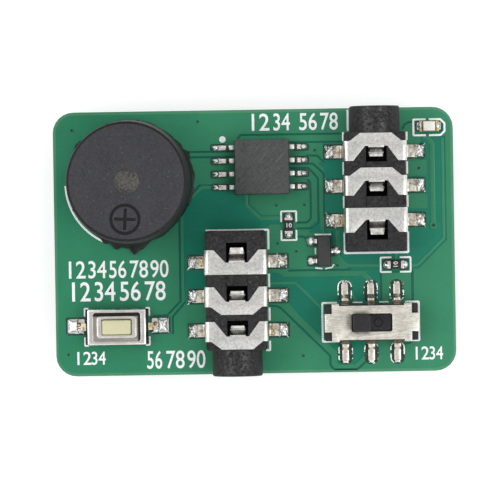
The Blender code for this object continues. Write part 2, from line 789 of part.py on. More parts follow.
def build_cell_retainer():
    """A stamped strap: a bridge under the cell, two legs and two feet on the board."""
    middle = RETAINER_SHEET / 2
    leg_x = RETAINER_LEG_X
    tip_x = leg_x + RETAINER_FOOT_LENGTH
    foot_z = BOARD_BOTTOM_Z - SEAT_GAP - middle
    path = [
        (-tip_x, foot_z),
        (-leg_x, foot_z),
        (-leg_x, middle),
        (leg_x, middle),
        (leg_x, foot_z),
        (tip_x, foot_z),
    ]
    side_view = strip(path, RETAINER_SHEET, RETAINER_BEND)
    width, foot = RETAINER_WIDTH / 2, RETAINER_FOOT_WIDTH / 2
    step_x = leg_x + RETAINER_BEND + RETAINER_STEP_PAST_BEND
    end_x = tip_x + CUT_OVERRUN
    plan = [
        (-end_x, -foot),
        (-step_x, -foot),
        (-step_x, -width),
        (step_x, -width),
        (step_x, -foot),
        (end_x, -foot),
        (end_x, foot),
        (step_x, foot),
        (step_x, width),
        (-step_x, width),
        (-step_x, foot),
        (-end_x, foot),
    ]
    retainer = extruded("XZ", [side_view], -RETAINER_WIDTH, RETAINER_WIDTH)
    slots = [retainer_tongue_slot(-1), retainer_tongue_slot(1)]
    keep_inside(retainer, extruded("XY", [plan, *slots], -CUT_OVERRUN, BOARD_TOP_Z))
    stop_low_y = width - RETAINER_STOP_THICKNESS
    reach = CELL_RADIUS + FIT_GAP
    stop_inner_x = math.sqrt(reach * reach - stop_low_y * stop_low_y)
    for side in (-1, 1):
        inner, outer = sorted((side * stop_inner_x, side * leg_x))
        low = RETAINER_SHEET + RETAINER_STOP_MARGIN
        high = foot_z - RETAINER_STOP_MARGIN
        join(retainer, block((inner, stop_low_y, low), (outer, width, high)))
    piece("cell_retainer", retainer, "spring_steel", at=(CELL_X, 0, 0))


# Buzzer


def buzzer_polarity_cutter():
    """A ring with a plus sign in it, sunk into the lid over the positive pin."""
    top = BUZZER_HEIGHT + CUT_OVERRUN
    bottom = BUZZER_HEIGHT - BUZZER_MARK_DEPTH
    half = BUZZER_MARK_LINE / 2
    ring = extruded(
        "XY",
        [
            circle((0, 0), BUZZER_MARK_RADIUS + half, MIDDLE_STEPS),
            circle((0, 0), BUZZER_MARK_RADIUS - half, MIDDLE_STEPS),
        ],
        bottom,
        top,
    )
    arm = BUZZER_MARK_ARM / 2
    plus = [
        (-arm, -half),
        (-half, -half),
        (-half, -arm),
        (half, -arm),
        (half, -half),
        (arm, -half),
        (arm, half),
        (half, half),
        (half, arm),
        (-half, arm),
        (-half, half),
        (-arm, half),
    ]
    sign = extruded("XY", [plus], bottom, top)
    for tool in (ring, sign):
        moved(tool, y=-BUZZER_MARK_FROM_MIDDLE)
    return ring, sign


def build_buzzer():
    place = carrier("buzzer", BUZZER_X, BUZZER_Y, BOARD_TOP_Z)
    pins_y = (-BUZZER_PIN_PITCH / 2, BUZZER_PIN_PITCH / 2)
    hole_radius = BUZZER_PIN_RADIUS + FIT_GAP

    resin_top = SEAT_GAP + BUZZER_RESIN_THICKNESS
    bead = BUZZER_RESIN_THICKNESS / 2
    resin = turned(
        [
            (0, resin_top),
            (BUZZER_RESIN_RADIUS - bead, resin_top),
            (BUZZER_RESIN_RADIUS, resin_top - bead),
            (BUZZER_RESIN_RADIUS, SEAT_GAP),
            (0, SEAT_GAP),
        ],
        LARGE_STEPS,
    )
    case_bottom = resin_top + SEAT_GAP
    base_top = case_bottom + BUZZER_BASE_THICKNESS
    case_inner = BUZZER_FOOT_RADIUS - BUZZER_WALL
    base = rod(case_inner - FIT_GAP, case_bottom, base_top, LARGE_STEPS)
    for y in pins_y:
        hole_bottom, hole_top = -CUT_OVERRUN, base_top + CUT_OVERRUN
        carve(resin, rod(hole_radius, hole_bottom, hole_top, SMALL_STEPS, (0, y)))
        carve(base, rod(hole_radius, hole_bottom, hole_top, SMALL_STEPS, (0, y)))
    piece("buzzer_resin", resin, "black_resin", place)
    piece("buzzer_base", base, "phenolic", place)

    pin_bottom = -BOARD_THICKNESS - BUZZER_PIN_BELOW_BOARD
    pin = rod(BUZZER_PIN_RADIUS, pin_bottom, base_top, SMALL_STEPS)
    positive = piece("buzzer_pin_positive", pin, "tin", place, at=(0, pins_y[0], 0))
    copied("buzzer_pin_negative", positive, place, at=(0, pins_y[1], 0))

    fillet = BUZZER_EDGE_ROUND
    lid_bottom = BUZZER_HEIGHT - BUZZER_LID
    case = turned(
        [
            (BUZZER_SOUND_HOLE_RADIUS, BUZZER_HEIGHT),
            (BUZZER_TOP_RADIUS - fillet, BUZZER_HEIGHT),
            (BUZZER_TOP_RADIUS - fillet / 4, BUZZER_HEIGHT - fillet / 4),
            (BUZZER_TOP_RADIUS, BUZZER_HEIGHT - fillet),
            (BUZZER_FOOT_RADIUS, case_bottom),
            (case_inner, case_bottom),
            (case_inner, BUZZER_LEDGE_HEIGHT),
            (case_inner - BUZZER_LEDGE, BUZZER_LEDGE_HEIGHT),
            (case_inner - BUZZER_LEDGE, lid_bottom),
            (BUZZER_SOUND_HOLE_RADIUS, lid_bottom),
        ],
        LARGE_STEPS,
        closed=True,
    )
    for tool in buzzer_polarity_cutter():
        combined(case, tool, "DIFFERENCE", solver="MANIFOLD")
    piece("buzzer_case", case, "black_moulding", place)

    yoke_bottom = base_top + SEAT_GAP
    yoke_top = yoke_bottom + BUZZER_YOKE_THICKNESS
    plate_top = BUZZER_LEDGE_HEIGHT - SEAT_GAP
    plate_bottom = plate_top - BUZZER_DIAPHRAGM_THICKNESS
    pole_top = plate_bottom - BUZZER_POLE_ROOM
    core = turned(
        [
            (0, pole_top),
            (BUZZER_POLE_RADIUS, pole_top),
            (BUZZER_POLE_RADIUS, yoke_top),
            (BUZZER_YOKE_RADIUS, yoke_top),
            (BUZZER_YOKE_RADIUS, yoke_bottom),
            (0, yoke_bottom),
        ],
        MIDDLE_STEPS,
    )
    piece("buzzer_core", core, "soft_iron", place)

    coil_bottom = yoke_top + SEAT_GAP
    coil_inner = BUZZER_POLE_RADIUS + FIT_GAP
    coil = turned(
        [
            (coil_inner, coil_bottom + BUZZER_COIL_HEIGHT),
            (BUZZER_COIL_RADIUS, coil_bottom + BUZZER_COIL_HEIGHT),
            (BUZZER_COIL_RADIUS, coil_bottom),
            (coil_inner, coil_bottom),
        ],
        MIDDLE_STEPS,
        closed=True,
    )
    piece("buzzer_coil", coil, "magnet_wire", place)

    magnet_top = plate_bottom - SEAT_GAP
    magnet = turned(
        [
            (BUZZER_MAGNET_INNER_RADIUS, magnet_top),
            (BUZZER_MAGNET_RADIUS, magnet_top),
            (BUZZER_MAGNET_RADIUS, coil_bottom),
            (BUZZER_MAGNET_INNER_RADIUS, coil_bottom),
        ],
        MIDDLE_STEPS,
        closed=True,
    )
    piece("buzzer_magnet", magnet, "ferrite", place)

    weight_top = plate_top + BUZZER_WEIGHT_THICKNESS
    diaphragm = turned(
        [
            (0, weight_top),
            (BUZZER_WEIGHT_RADIUS, weight_top),
            (BUZZER_WEIGHT_RADIUS, plate_top),
            (case_inner - FIT_GAP, plate_top),
            (case_inner - FIT_GAP, plate_bottom),
            (0, plate_bottom),
        ],
        LARGE_STEPS,
    )
    piece("buzzer_diaphragm", diaphragm, "diaphragm_steel", place)


# Jacks


def strap_plan(crown_x, crown_y, shoulder_x, leg_width, notch_y):
    """One strap from above: its crown, shoulders, legs and feet, and the notch of its tongue.
    It is drawn about the middle of its legs, with +Y towards the nose."""
    wall_x = JACK_WALL_X + STRAP_SHEET / 2
    tip_x = wall_x + STRAP_FOOT_LENGTH + STRAP_SHEET
    leg, foot = leg_width / 2, STRAP_FOOT_WIDTH / 2
    right = [
        (STRAP_NOTCH_X, notch_y),
        (STRAP_LEG_INNER_X, -leg),
        (wall_x, -leg),
        (wall_x, -foot),
        (tip_x, -foot),
        (tip_x, foot),
        (wall_x, foot),
        (wall_x, leg),
    ]
    if crown_y > leg:
        right += [(shoulder_x, leg), (crown_x, crown_y)]
    left = [(-x, y) for x, y in reversed(right)]
    return right + left


def strap_top_z():
    """The middle of a strap's top."""
    return JACK_HEIGHT - STRAP_TOP_INSET - STRAP_SHEET / 2


def strap_side(leg_width):
    """One strap from the side: full width at the top, necked down to its feet."""
    neck, leg = STRAP_NECK_WIDTH / 2, leg_width / 2 + STRAP_SHEET
    beyond = STRAP_PITCH
    top = JACK_HEIGHT + CUT_OVERRUN
    right = [
        (neck, -CUT_OVERRUN),
        (neck, STRAP_NECK_BOTTOM),
        (leg, STRAP_NECK_TOP),
        (beyond, STRAP_NECK_TOP),
        (beyond, top),
    ]
    left = [(-y, z) for y, z in reversed(right)]
    return right + left


def strap_path():
    """The bent sheet's middle line, seen along the jack's axis."""
    wall_x, top_z = JACK_WALL_X, strap_top_z()
    tip_x = wall_x + STRAP_SHEET / 2 + STRAP_FOOT_LENGTH
    foot_z = SEAT_GAP + STRAP_SHEET / 2
    return [
        (-tip_x, foot_z),
        (-wall_x, foot_z),
        (-wall_x, top_z),
        (wall_x, top_z),
        (wall_x, foot_z),
        (tip_x, foot_z),
    ]


def strap_solid(plan, leg_width, notch_y, tongue_reach):
    depth = STRAP_PITCH
    strap = extruded("XZ", [strip(strap_path(), STRAP_SHEET, STRAP_BEND)], -depth, depth)
    top = JACK_HEIGHT + CUT_OVERRUN
    keep_inside(strap, extruded("XY", [plan], -CUT_OVERRUN, top))
    keep_inside(strap, extruded("YZ", [strap_side(leg_width)], -JACK_WIDTH, JACK_WIDTH))
    path = [
        (notch_y - along * tongue_reach, strap_top_z() + rise * TONGUE_DIP)
        for along, rise in TONGUE_PATH_SHARES
    ]
    tongue = strip(path, TONGUE_SHEET, TONGUE_SHEET)
    return join(strap, extruded("YZ", [tongue], -TONGUE_WIDTH / 2, TONGUE_WIDTH / 2))


def strap_seat_cutter(plan, middle_y):
    """What one strap takes from the housing: all that lies outside the sheet's inner face."""
    far = JACK_WIDTH
    cutter = extruded("XY", [offset(plan, FIT_GAP, True)], -CUT_OVERRUN, far)
    core_x = JACK_WIDTH / 2 - STRAP_SIDE_INSET
    core_top = strap_top_z() - STRAP_SHEET / 2 - FIT_GAP
    chamfer = STRAP_BEND
    core = [
        (-core_x, -far),
        (core_x, -far),
        (core_x, core_top - chamfer),
        (core_x - chamfer, core_top),
        (chamfer - core_x, core_top),
        (-core_x, core_top - chamfer),
    ]
    carve(cutter, extruded("XZ", [core], -STRAP_PITCH, STRAP_PITCH))
    return moved(cutter, y=middle_y)


def jack_housing(straps):
    back_y = -JACK_LENGTH
    half = JACK_WIDTH / 2
    axis_z = SEAT_GAP + JACK_HEIGHT / 2
    housing = block((-half, back_y, SEAT_GAP), (half, -JACK_NOSE_LENGTH, JACK_HEIGHT))
    softened(housing, JACK_EDGE_ROUND)
    chamfer = JACK_NOSE_CHAMFER
    nose = turned(
        [
            (0, JACK_NOSE_LENGTH + CUT_OVERRUN),
            (JACK_NOSE_RADIUS - chamfer, JACK_NOSE_LENGTH + CUT_OVERRUN),
            (JACK_NOSE_RADIUS, JACK_NOSE_LENGTH + CUT_OVERRUN - chamfer),
            (JACK_NOSE_RADIUS, 0),
            (0, 0),
        ],
        MIDDLE_STEPS,
    )
    along_y = -math.pi / 2
    moved(nose, y=-JACK_NOSE_LENGTH - CUT_OVERRUN, z=axis_z, turn=along_y, axis="X")
    bore_length = JACK_LENGTH - JACK_REAR_WALL
    bore = rod(JACK_BORE_RADIUS, 0, bore_length + CUT_OVERRUN, MIDDLE_STEPS)
    moved(bore, y=-bore_length, z=axis_z, turn=along_y, axis="X")
    join(housing, nose)
    carve(housing, bore)
    for middle_y, plan, notch_y, reach in straps:
        carve(housing, strap_seat_cutter(plan, middle_y))
        across = TONGUE_WIDTH / 2 + WINDOW_SIDE_ROOM
        front = middle_y + notch_y + WINDOW_FRONT_ROOM
        back = middle_y + notch_y - reach - WINDOW_END_ROOM
        top = JACK_HEIGHT + CUT_OVERRUN
        carve(housing, block((-across, back, axis_z), (across, front, top)))
    for peg in (JACK_FRONT_PEG_FROM_NOSE, JACK_FRONT_PEG_FROM_NOSE + JACK_PEG_PITCH):
        top = SEAT_GAP + JACK_EDGE_ROUND
        join(housing, rod(JACK_PEG_RADIUS, -JACK_PEG_LENGTH, top, SMALL_STEPS, (0, -peg)))
    return housing


def build_jacks():
    side_plan = strap_plan(
        STRAP_CROWN_X, STRAP_CROWN_Y, STRAP_SHOULDER_X, STRAP_LEG_WIDTH, STRAP_NOTCH_Y
    )
    tip_plan = strap_plan(0, 0, 0, TIP_STRAP_LEG_WIDTH, TIP_STRAP_NOTCH_Y)
    side_strap = strap_solid(side_plan, STRAP_LEG_WIDTH, STRAP_NOTCH_Y, TONGUE_REACH)
    tip_strap = strap_solid(
        tip_plan, TIP_STRAP_LEG_WIDTH, TIP_STRAP_NOTCH_Y, TIP_TONGUE_REACH
    )
    places = [-STRAP_FIRST_FROM_NOSE - STRAP_PITCH * i for i in range(3)]
    straps = [
        (places[0], side_plan, STRAP_NOTCH_Y, TONGUE_REACH),
        (places[1], side_plan, STRAP_NOTCH_Y, TONGUE_REACH),
        (places[2], tip_plan, TIP_STRAP_NOTCH_Y, TIP_TONGUE_REACH),
    ]
    housing = jack_housing(straps)
    output = carrier("output_jack", OUTPUT_JACK_X, JACK_NOSE_Y, BOARD_TOP_Z)
    paddle = carrier("paddle_jack", PADDLE_JACK_X, -JACK_NOSE_Y, BOARD_TOP_Z, math.pi)
    body = piece("output_jack_body", housing, "black_moulding", output)
    copied("paddle_jack_body", body, paddle)
    sleeve = piece(
        "output_jack_sleeve_contact", side_strap, "nickel", output, at=(0, places[0], 0)
    )
    copied("output_jack_ring_contact", sleeve, output, at=(0, places[1], 0))
    copied("paddle_jack_sleeve_contact", sleeve, paddle, at=(0, places[0], 0))
    copied("paddle_jack_ring_contact", sleeve, paddle, at=(0, places[1], 0))
    tip = piece("output_jack_tip_contact", tip_strap, "nickel", output, at=(0, places[2], 0))
    copied("paddle_jack_tip_contact", tip, paddle, at=(0, places[2], 0))


# Slide switch


def slide_pin_path():
    """A terminal from its foot, up the side and in over the well's floor."""
    middle = SLIDE_PIN_SHEET / 2
    foot_z = SEAT_GAP + middle
    pad_z = SLIDE_FLOOR + FIT_GAP + middle
    heel = SLIDE_PIN_REACH - SLIDE_PIN_FOOT
    return [
        (SLIDE_PIN_REACH, foot_z),
        (heel, foot_z),
        (heel - SLIDE_PIN_SLOPE, pad_z),
        (SLIDE_PIN_INNER_END, pad_z),
    ]


def slide_well_length():
    """Room for the slider's plate at both ends of its travel."""
    return slide_plate_length() + SLIDE_TRAVEL + 2 * FIT_GAP


def slide_plate_length():
    """Long enough to close the window wherever the knob stands."""
    return SLIDE_WINDOW_LENGTH + SLIDE_TRAVEL + 2 * FIT_GAP


def slide_base():
    half_x, half_y = SLIDE_BASE_LENGTH / 2, SLIDE_BASE_DEPTH / 2
    over = CUT_OVERRUN
    top = SLIDE_BASE_HEIGHT
    base = centred_block(SLIDE_BASE_LENGTH, SLIDE_BASE_DEPTH, SEAT_GAP, top)
    carve(base, centred_block(slide_well_length(), SLIDE_WELL_DEPTH, SLIDE_FLOOR, top + over))
    skirt_z = top - SLIDE_COVER_SKIRT - FIT_GAP
    tab = SLIDE_COVER_END_TAB / 2 + FIT_GAP
    seat_x, seat_y = half_x - SLIDE_COVER_INSET, half_y - SLIDE_COVER_INSET
    outer_x = SLIDE_COVER_MAIN_LENGTH / 2 + FIT_GAP
    inner_x = SLIDE_COVER_MAIN_LENGTH / 2 - SLIDE_COVER_CORNER_TAB - FIT_GAP
    for side in (-1, 1):
        low_x, high_x = sorted((side * seat_x, side * (half_x + over)))
        carve(base, block((low_x, -tab, skirt_z), (high_x, tab, top + over)))
        for end in (-1, 1):
            low_x, high_x = sorted((end * inner_x, end * outer_x))
            low_y, high_y = sorted((side * seat_y, side * (half_y + over)))
            carve(base, block((low_x, low_y, skirt_z), (high_x, high_y, top + over)))
    slot_z = SLIDE_FLOOR + SLIDE_PIN_SHEET + 2 * FIT_GAP
    slot_y = SLIDE_WELL_DEPTH / 2 - FIT_GAP
    for column in (-1, 0, 1):
        x = column * SLIDE_PIN_PITCH
        width = SLIDE_PIN_WIDTH / 2 + FIT_GAP
        for side in (-1, 1):
            low_y, high_y = sorted((side * slot_y, side * (half_y + over)))
            carve(base, block((x - width, low_y, SLIDE_FLOOR), (x + width, high_y, slot_z)))
    return base


def slide_cover():
    """A sheet lid with two end tabs and four corner tabs folded down the base."""
    sheet, over = SLIDE_COVER_SHEET, CUT_OVERRUN
    low = SLIDE_BASE_HEIGHT - SLIDE_COVER_SKIRT
    bottom = SLIDE_BASE_HEIGHT + SEAT_GAP
    top = bottom + sheet
    inner_x = SLIDE_COVER_X
    inner_y = SLIDE_BASE_DEPTH / 2 - SLIDE_COVER_INSET + FIT_GAP
    outer_x, outer_y = inner_x + sheet, inner_y + sheet
    cover = centred_block(2 * outer_x, 2 * outer_y, low, top)
    softened(cover, SLIDE_COVER_BEND, 2)
    carve(cover, centred_block(2 * inner_x, 2 * inner_y, low - over, bottom))
    tab = SLIDE_COVER_END_TAB / 2
    main_x = SLIDE_COVER_MAIN_LENGTH / 2
    far_x, far_y = outer_x + over, outer_y + over
    for x_side in (-1, 1):
        low_x, high_x = sorted((x_side * main_x, x_side * far_x))
        for y_side in (-1, 1):
            low_y, high_y = sorted((y_side * tab, y_side * far_y))
            carve(cover, block((low_x, low_y, low - over), (high_x, high_y, top + over)))
    open_x = main_x - SLIDE_COVER_CORNER_TAB
    for side in (-1, 1):
        low_y, high_y = sorted((side * inner_y, side * far_y))
        carve(cover, block((-open_x, low_y, low - over), (open_x, high_y, top + over)))
    window = rounded_rectangle(SLIDE_WINDOW_LENGTH, SLIDE_WINDOW_DEPTH, sheet)
    carve(cover, extruded("XY", [window], low, top + over))
    return cover


def slide_slider():
    """The plate under the lid and its knob, drawn about the knob's middle."""
    plate_top = SLIDE_BASE_HEIGHT + SEAT_GAP - FIT_GAP
    plate_bottom = plate_top - SLIDE_PLATE_THICKNESS
    depth = SLIDE_WELL_DEPTH - 2 * FIT_GAP
    knob_top = SLIDE_BASE_HEIGHT + SEAT_GAP + SLIDE_COVER_SHEET + SLIDE_KNOB_RISE
    slider = centred_block(slide_plate_length(), depth, plate_bottom, plate_top)
    knob = centred_block(SLIDE_KNOB_LENGTH, SLIDE_KNOB_DEPTH, plate_bottom, knob_top)
    softened(knob, SLIDE_KNOB_ROUND)
    trimmed = centred_block(
        SLIDE_KNOB_LENGTH + CUT_OVERRUN,
        SLIDE_KNOB_DEPTH + CUT_OVERRUN,
        plate_bottom - CUT_OVERRUN,
        plate_top - SLIDE_PLATE_THICKNESS / 2,
    )
    carve(knob, trimmed)
    return join(slider, knob), plate_bottom


def slide_bridge(plate_bottom):
    """A springy strip that joins two neighbouring terminals."""
    reach = SLIDE_PIN_PITCH / 2
    low = SLIDE_FLOOR + SLIDE_PIN_SHEET + 3 * FIT_GAP + BRIDGE_SHEET / 2
    high = plate_bottom - FIT_GAP - BRIDGE_SHEET / 2
    half = [(reach - BRIDGE_SLOPE, high), (reach, low), (reach + BRIDGE_TIP, low + BRIDGE_TIP_RISE)]
    path = [(-x, z) for x, z in reversed(half)] + half
    outline = strip(path, BRIDGE_SHEET, BRIDGE_SHEET)
    return extruded("XZ", [outline], -BRIDGE_WIDTH / 2, BRIDGE_WIDTH / 2)


def build_slide_switch():
    place = carrier("slide_switch", SLIDE_X, SLIDE_Y, BOARD_TOP_Z)
    piece("slide_switch_base", slide_base(), "black_moulding", place)
    piece("slide_switch_cover", slide_cover(), "nickel", place)
    rest_x = -SLIDE_TRAVEL / 2
    slider, plate_bottom = slide_slider()
    piece("slide_switch_slider", slider, "black_moulding", place, at=(rest_x, 0, 0))
    bridge = slide_bridge(plate_bottom)
    front = piece(
        "slide_switch_front_bridge", bridge, "spring_steel", place, at=(rest_x, -BRIDGE_Y, 0)
    )
    copied("slide_switch_back_bridge", front, place, at=(rest_x, BRIDGE_Y, 0))
    outline = strip(slide_pin_path(), SLIDE_PIN_SHEET, SLIDE_PIN_BEND)
    half = SLIDE_PIN_WIDTH / 2
    first = None
    for row, turn in (("back", 0), ("front", math.pi)):
        for column, word in ((-1, "left"), (0, "middle"), (1, "right")):
            name = f"slide_switch_{row}_{word}_pin"
            at = (column * SLIDE_PIN_PITCH, 0, 0)
            if first is None:
                pin = extruded("YZ", [outline], -half, half)
                first = piece(name, pin, "tin", place, at=at, turn=turn)
            else:
                copied(name, first, place, at=at, turn=turn)


# Push button switch


def tact_pin_path():
    """A terminal from its foot, under the base and up to the well's floor."""
    middle = TACT_PIN_SHEET / 2
    foot_z = SEAT_GAP + middle
    return [
        (TACT_PIN_REACH, foot_z),
        (TACT_PIN_RISE_X, foot_z),
        (TACT_PIN_RISE_X - TACT_PIN_SLOPE, TACT_WELL_FLOOR - middle),
        (TACT_PIN_INNER_END, TACT_WELL_FLOOR - middle),
    ]


def tact_base():
    over = CUT_OVERRUN
    top = TACT_BASE_HEIGHT
    cover_half = TACT_COVER_LENGTH / 2 - TACT_COVER_SHEET
    base = centred_block(TACT_BASE_LENGTH, TACT_BASE_DEPTH, SEAT_GAP, top)
    carve(base, centred_block(TACT_WELL_LENGTH, TACT_WELL_DEPTH, TACT_WELL_FLOOR, top + over))
    seat_y = TACT_BASE_DEPTH / 2 - TACT_COVER_SHEET
    step_z = TACT_COVER_BOTTOM - FIT_GAP
    far_x = TACT_BASE_LENGTH / 2 + over
    far_y = TACT_BASE_DEPTH / 2 + over
    tab = TACT_END_TAB / 2 + FIT_GAP
    for side in (-1, 1):
        low_y, high_y = sorted((side * seat_y, side * far_y))
        carve(base, block((-far_x, low_y, step_z), (far_x, high_y, top + over)))
        seat_x = cover_half - FIT_GAP
        low_x, high_x = sorted((side * seat_x, side * far_x))
        carve(base, block((low_x, -tab, step_z), (high_x, tab, top + over)))
    sheet = TACT_PIN_SHEET + 2 * FIT_GAP
    half = TACT_PIN_WIDTH / 2 + FIT_GAP
    for side in (-1, 1):
        slot = extruded("XZ", [strip(tact_pin_path(), sheet, TACT_PIN_BEND)], -half, half)
        if side < 0:
            moved(slot, turn=math.pi)
        carve(base, slot)
        low_x, high_x = sorted((side * TACT_PIN_RISE_X, side * far_x))
        carve(base, block((low_x, -half, -over), (high_x, half, SEAT_GAP + TACT_PIN_SHEET)))
    return base


def tact_cover():
    """A drawn lid: a flat frame, a trough, and a raised rim round the button."""
    over = CUT_OVERRUN
    sheet = TACT_COVER_SHEET
    depth = TACT_BASE_DEPTH + 2 * FIT_GAP
    ceiling = TACT_COVER_TOP - TACT_COVER_THICKNESS
    cover = centred_block(TACT_COVER_LENGTH, depth, TACT_COVER_BOTTOM, TACT_COVER_TOP)
    softened(cover, TACT_COVER_BEND, 2)
    inner_length, inner_depth = TACT_COVER_LENGTH - 2 * sheet, depth - 2 * sheet
    low = TACT_COVER_BOTTOM - over
    carve(cover, centred_block(inner_length, inner_depth, low, ceiling))
    half_x, half_y = TACT_COVER_LENGTH / 2, depth / 2
    tab = TACT_END_TAB / 2
    edge_z = TACT_BASE_HEIGHT + FIT_GAP
    for x_side in (-1, 1):
        low_x, high_x = sorted((x_side * (half_x - TACT_END_INSET), x_side * (half_x + over)))
        for y_side in (-1, 1):
            low_y, high_y = sorted((y_side * tab, y_side * (half_y + over)))
            carve(cover, block((low_x, low_y, low), (high_x, high_y, edge_z)))
    trough = rounded_rectangle(TACT_TROUGH_LENGTH, TACT_TROUGH_DEPTH, TACT_CORNER_RADIUS)
    rim = rounded_rectangle(TACT_RIM_LENGTH, TACT_RIM_DEPTH, TACT_CORNER_RADIUS)
    carve(cover, extruded("XY", [trough, rim], TACT_TROUGH_FLOOR, TACT_COVER_TOP + over))
    join(cover, extruded("XY", [rim], TACT_TROUGH_FLOOR - sheet / 2, TACT_RIM_TOP))
    hole = rounded_rectangle(
        TACT_BUTTON_LENGTH + 2 * TACT_BUTTON_ROOM,
        TACT_BUTTON_DEPTH + 2 * TACT_BUTTON_ROOM,
        TACT_BUTTON_ROOM,
    )
    return carve(cover, extruded("XY", [hole], 0, TACT_RIM_TOP + over))


def build_push_button():
    place = carrier("tact_switch", TACT_X, TACT_Y, BOARD_TOP_Z)
    piece("tact_switch_base", tact_base(), "black_moulding", place)
    piece("tact_switch_cover", tact_cover(), "nickel", place)

    flange_top = TACT_COVER_TOP - TACT_COVER_THICKNESS - FIT_GAP
    flange_bottom = flange_top - TACT_BUTTON_FLANGE_THICKNESS
    cap_low = flange_bottom + TACT_BUTTON_FLANGE_THICKNESS / 2
    button = centred_block(TACT_BUTTON_LENGTH, TACT_BUTTON_DEPTH, flange_bottom, TACT_BUTTON_TOP)
    softened(button, TACT_BUTTON_ROUND)
    far = 2 * TACT_BUTTON_LENGTH
    carve(button, centred_block(far, far, flange_bottom - CUT_OVERRUN, cap_low))
    flange = centred_block(
        TACT_BUTTON_LENGTH + 2 * TACT_BUTTON_FLANGE,
        TACT_BUTTON_DEPTH + 2 * TACT_BUTTON_FLANGE,
        flange_bottom,
        flange_top,
    )
    piece("tact_switch_button", join(button, flange), "cream_plastic", place)

    rim_z = TACT_WELL_FLOOR + FIT_GAP
    crown_z = flange_bottom - FIT_GAP
    sheet = TACT_DOME_SHEET
    outer, inner = [], []
    for step in range(BEND_STEPS + 1):
        angle = math.pi / 2 * step / BEND_STEPS
        across, up = math.sin(angle), math.cos(angle)
        outer.append((TACT_DOME_RADIUS * across, rim_z + (crown_z - rim_z) * up))
        inner.append(((TACT_DOME_RADIUS - sheet) * across, rim_z + (crown_z - sheet - rim_z) * up))
    dome = turned(outer + inner[::-1], MIDDLE_STEPS)
    piece("tact_switch_dome", dome, "spring_steel", place)

    outline = strip(tact_pin_path(), TACT_PIN_SHEET, TACT_PIN_BEND)
    half = TACT_PIN_WIDTH / 2
    pin = extruded("XZ", [outline], -half, half)
    right = piece("tact_switch_right_pin", pin, "tin", place)
    copied("tact_switch_left_pin", right, place, turn=math.pi)


# Chip and transistor


def gull_wing(inner_x, span, parting, sheet, bend, foot, shoulder, width):
    """A lead out of a moulded body, down to its foot on the board, towards +X."""
    foot_z = SEAT_GAP + sheet / 2
    tip_x = span / 2
    path = [
        (inner_x, parting),
        (inner_x + shoulder, parting),
        (tip_x - foot, foot_z),
        (tip_x, foot_z),
    ]
    return extruded("XZ", [strip(path, sheet, bend)], -width / 2, width / 2)


def build_chip():
    place = carrier("chip", CHIP_X, CHIP_Y, BOARD_TOP_Z)
    levels = ((CHIP_BOTTOM, CHIP_DRAFT), (CHIP_PARTING, 0), (CHIP_TOP, CHIP_DRAFT))
    body = tapered_block(CHIP_WIDTH, CHIP_LENGTH, levels)
    dimple_x = CHIP_DIMPLE_INSET - CHIP_WIDTH / 2
    dimple_y = CHIP_LENGTH / 2 - CHIP_DIMPLE_INSET
    floor = CHIP_TOP - CHIP_DIMPLE_DEPTH
    middle = (dimple_x, dimple_y)
    carve(body, rod(CHIP_DIMPLE_RADIUS, floor, CHIP_TOP + CUT_OVERRUN, SMALL_STEPS, middle))
    piece("chip_body", body, "chip_moulding", place)
    lead = gull_wing(
        CHIP_WIDTH / 2 + FIT_GAP,
        CHIP_LEAD_SPAN,
        CHIP_PARTING,
        CHIP_LEAD_SHEET,
        CHIP_LEAD_BEND,
        CHIP_LEAD_FOOT,
        CHIP_LEAD_SHOULDER,
        CHIP_LEAD_WIDTH,
    )
    count = CHIP_LEADS_PER_SIDE
    rows = [((count - 1) / 2 - i) * CHIP_LEAD_PITCH for i in range(count)]
    places = [(y, math.pi) for y in rows] + [(y, 0) for y in reversed(rows)]
    first_y, first_turn = places[0]
    first = piece("chip_lead_1", lead, "tin", place, at=(0, first_y, 0), turn=first_turn)
    for number, (y, turn) in enumerate(places[1:], start=2):
        copied(f"chip_lead_{number}", first, place, at=(0, y, 0), turn=turn)


def build_transistor():
    place = carrier("transistor", TRANSISTOR_X, TRANSISTOR_Y, BOARD_TOP_Z)
    levels = (
        (TRANSISTOR_BOTTOM, TRANSISTOR_DRAFT),
        (TRANSISTOR_PARTING, 0),
        (TRANSISTOR_TOP, TRANSISTOR_DRAFT),
    )
    body = tapered_block(TRANSISTOR_WIDTH, TRANSISTOR_LENGTH, levels)
    piece("transistor_body", body, "chip_moulding", place)
    lead = gull_wing(
        TRANSISTOR_WIDTH / 2 + FIT_GAP,
        TRANSISTOR_LEAD_SPAN,
        TRANSISTOR_PARTING,
        TRANSISTOR_LEAD_SHEET,
        TRANSISTOR_LEAD_BEND,
        TRANSISTOR_LEAD_FOOT,
        TRANSISTOR_LEAD_SHOULDER,
        TRANSISTOR_LEAD_WIDTH,
    )
    half = TRANSISTOR_PAIR_PITCH / 2
    collector = piece("transistor_collector_lead", lead, "tin", place)
    copied("transistor_base_lead", collector, place, at=(0, half, 0), turn=math.pi)
    copied("transistor_emitter_lead", collector, place, at=(0, -half, 0), turn=math.pi)


# Resistors and power light


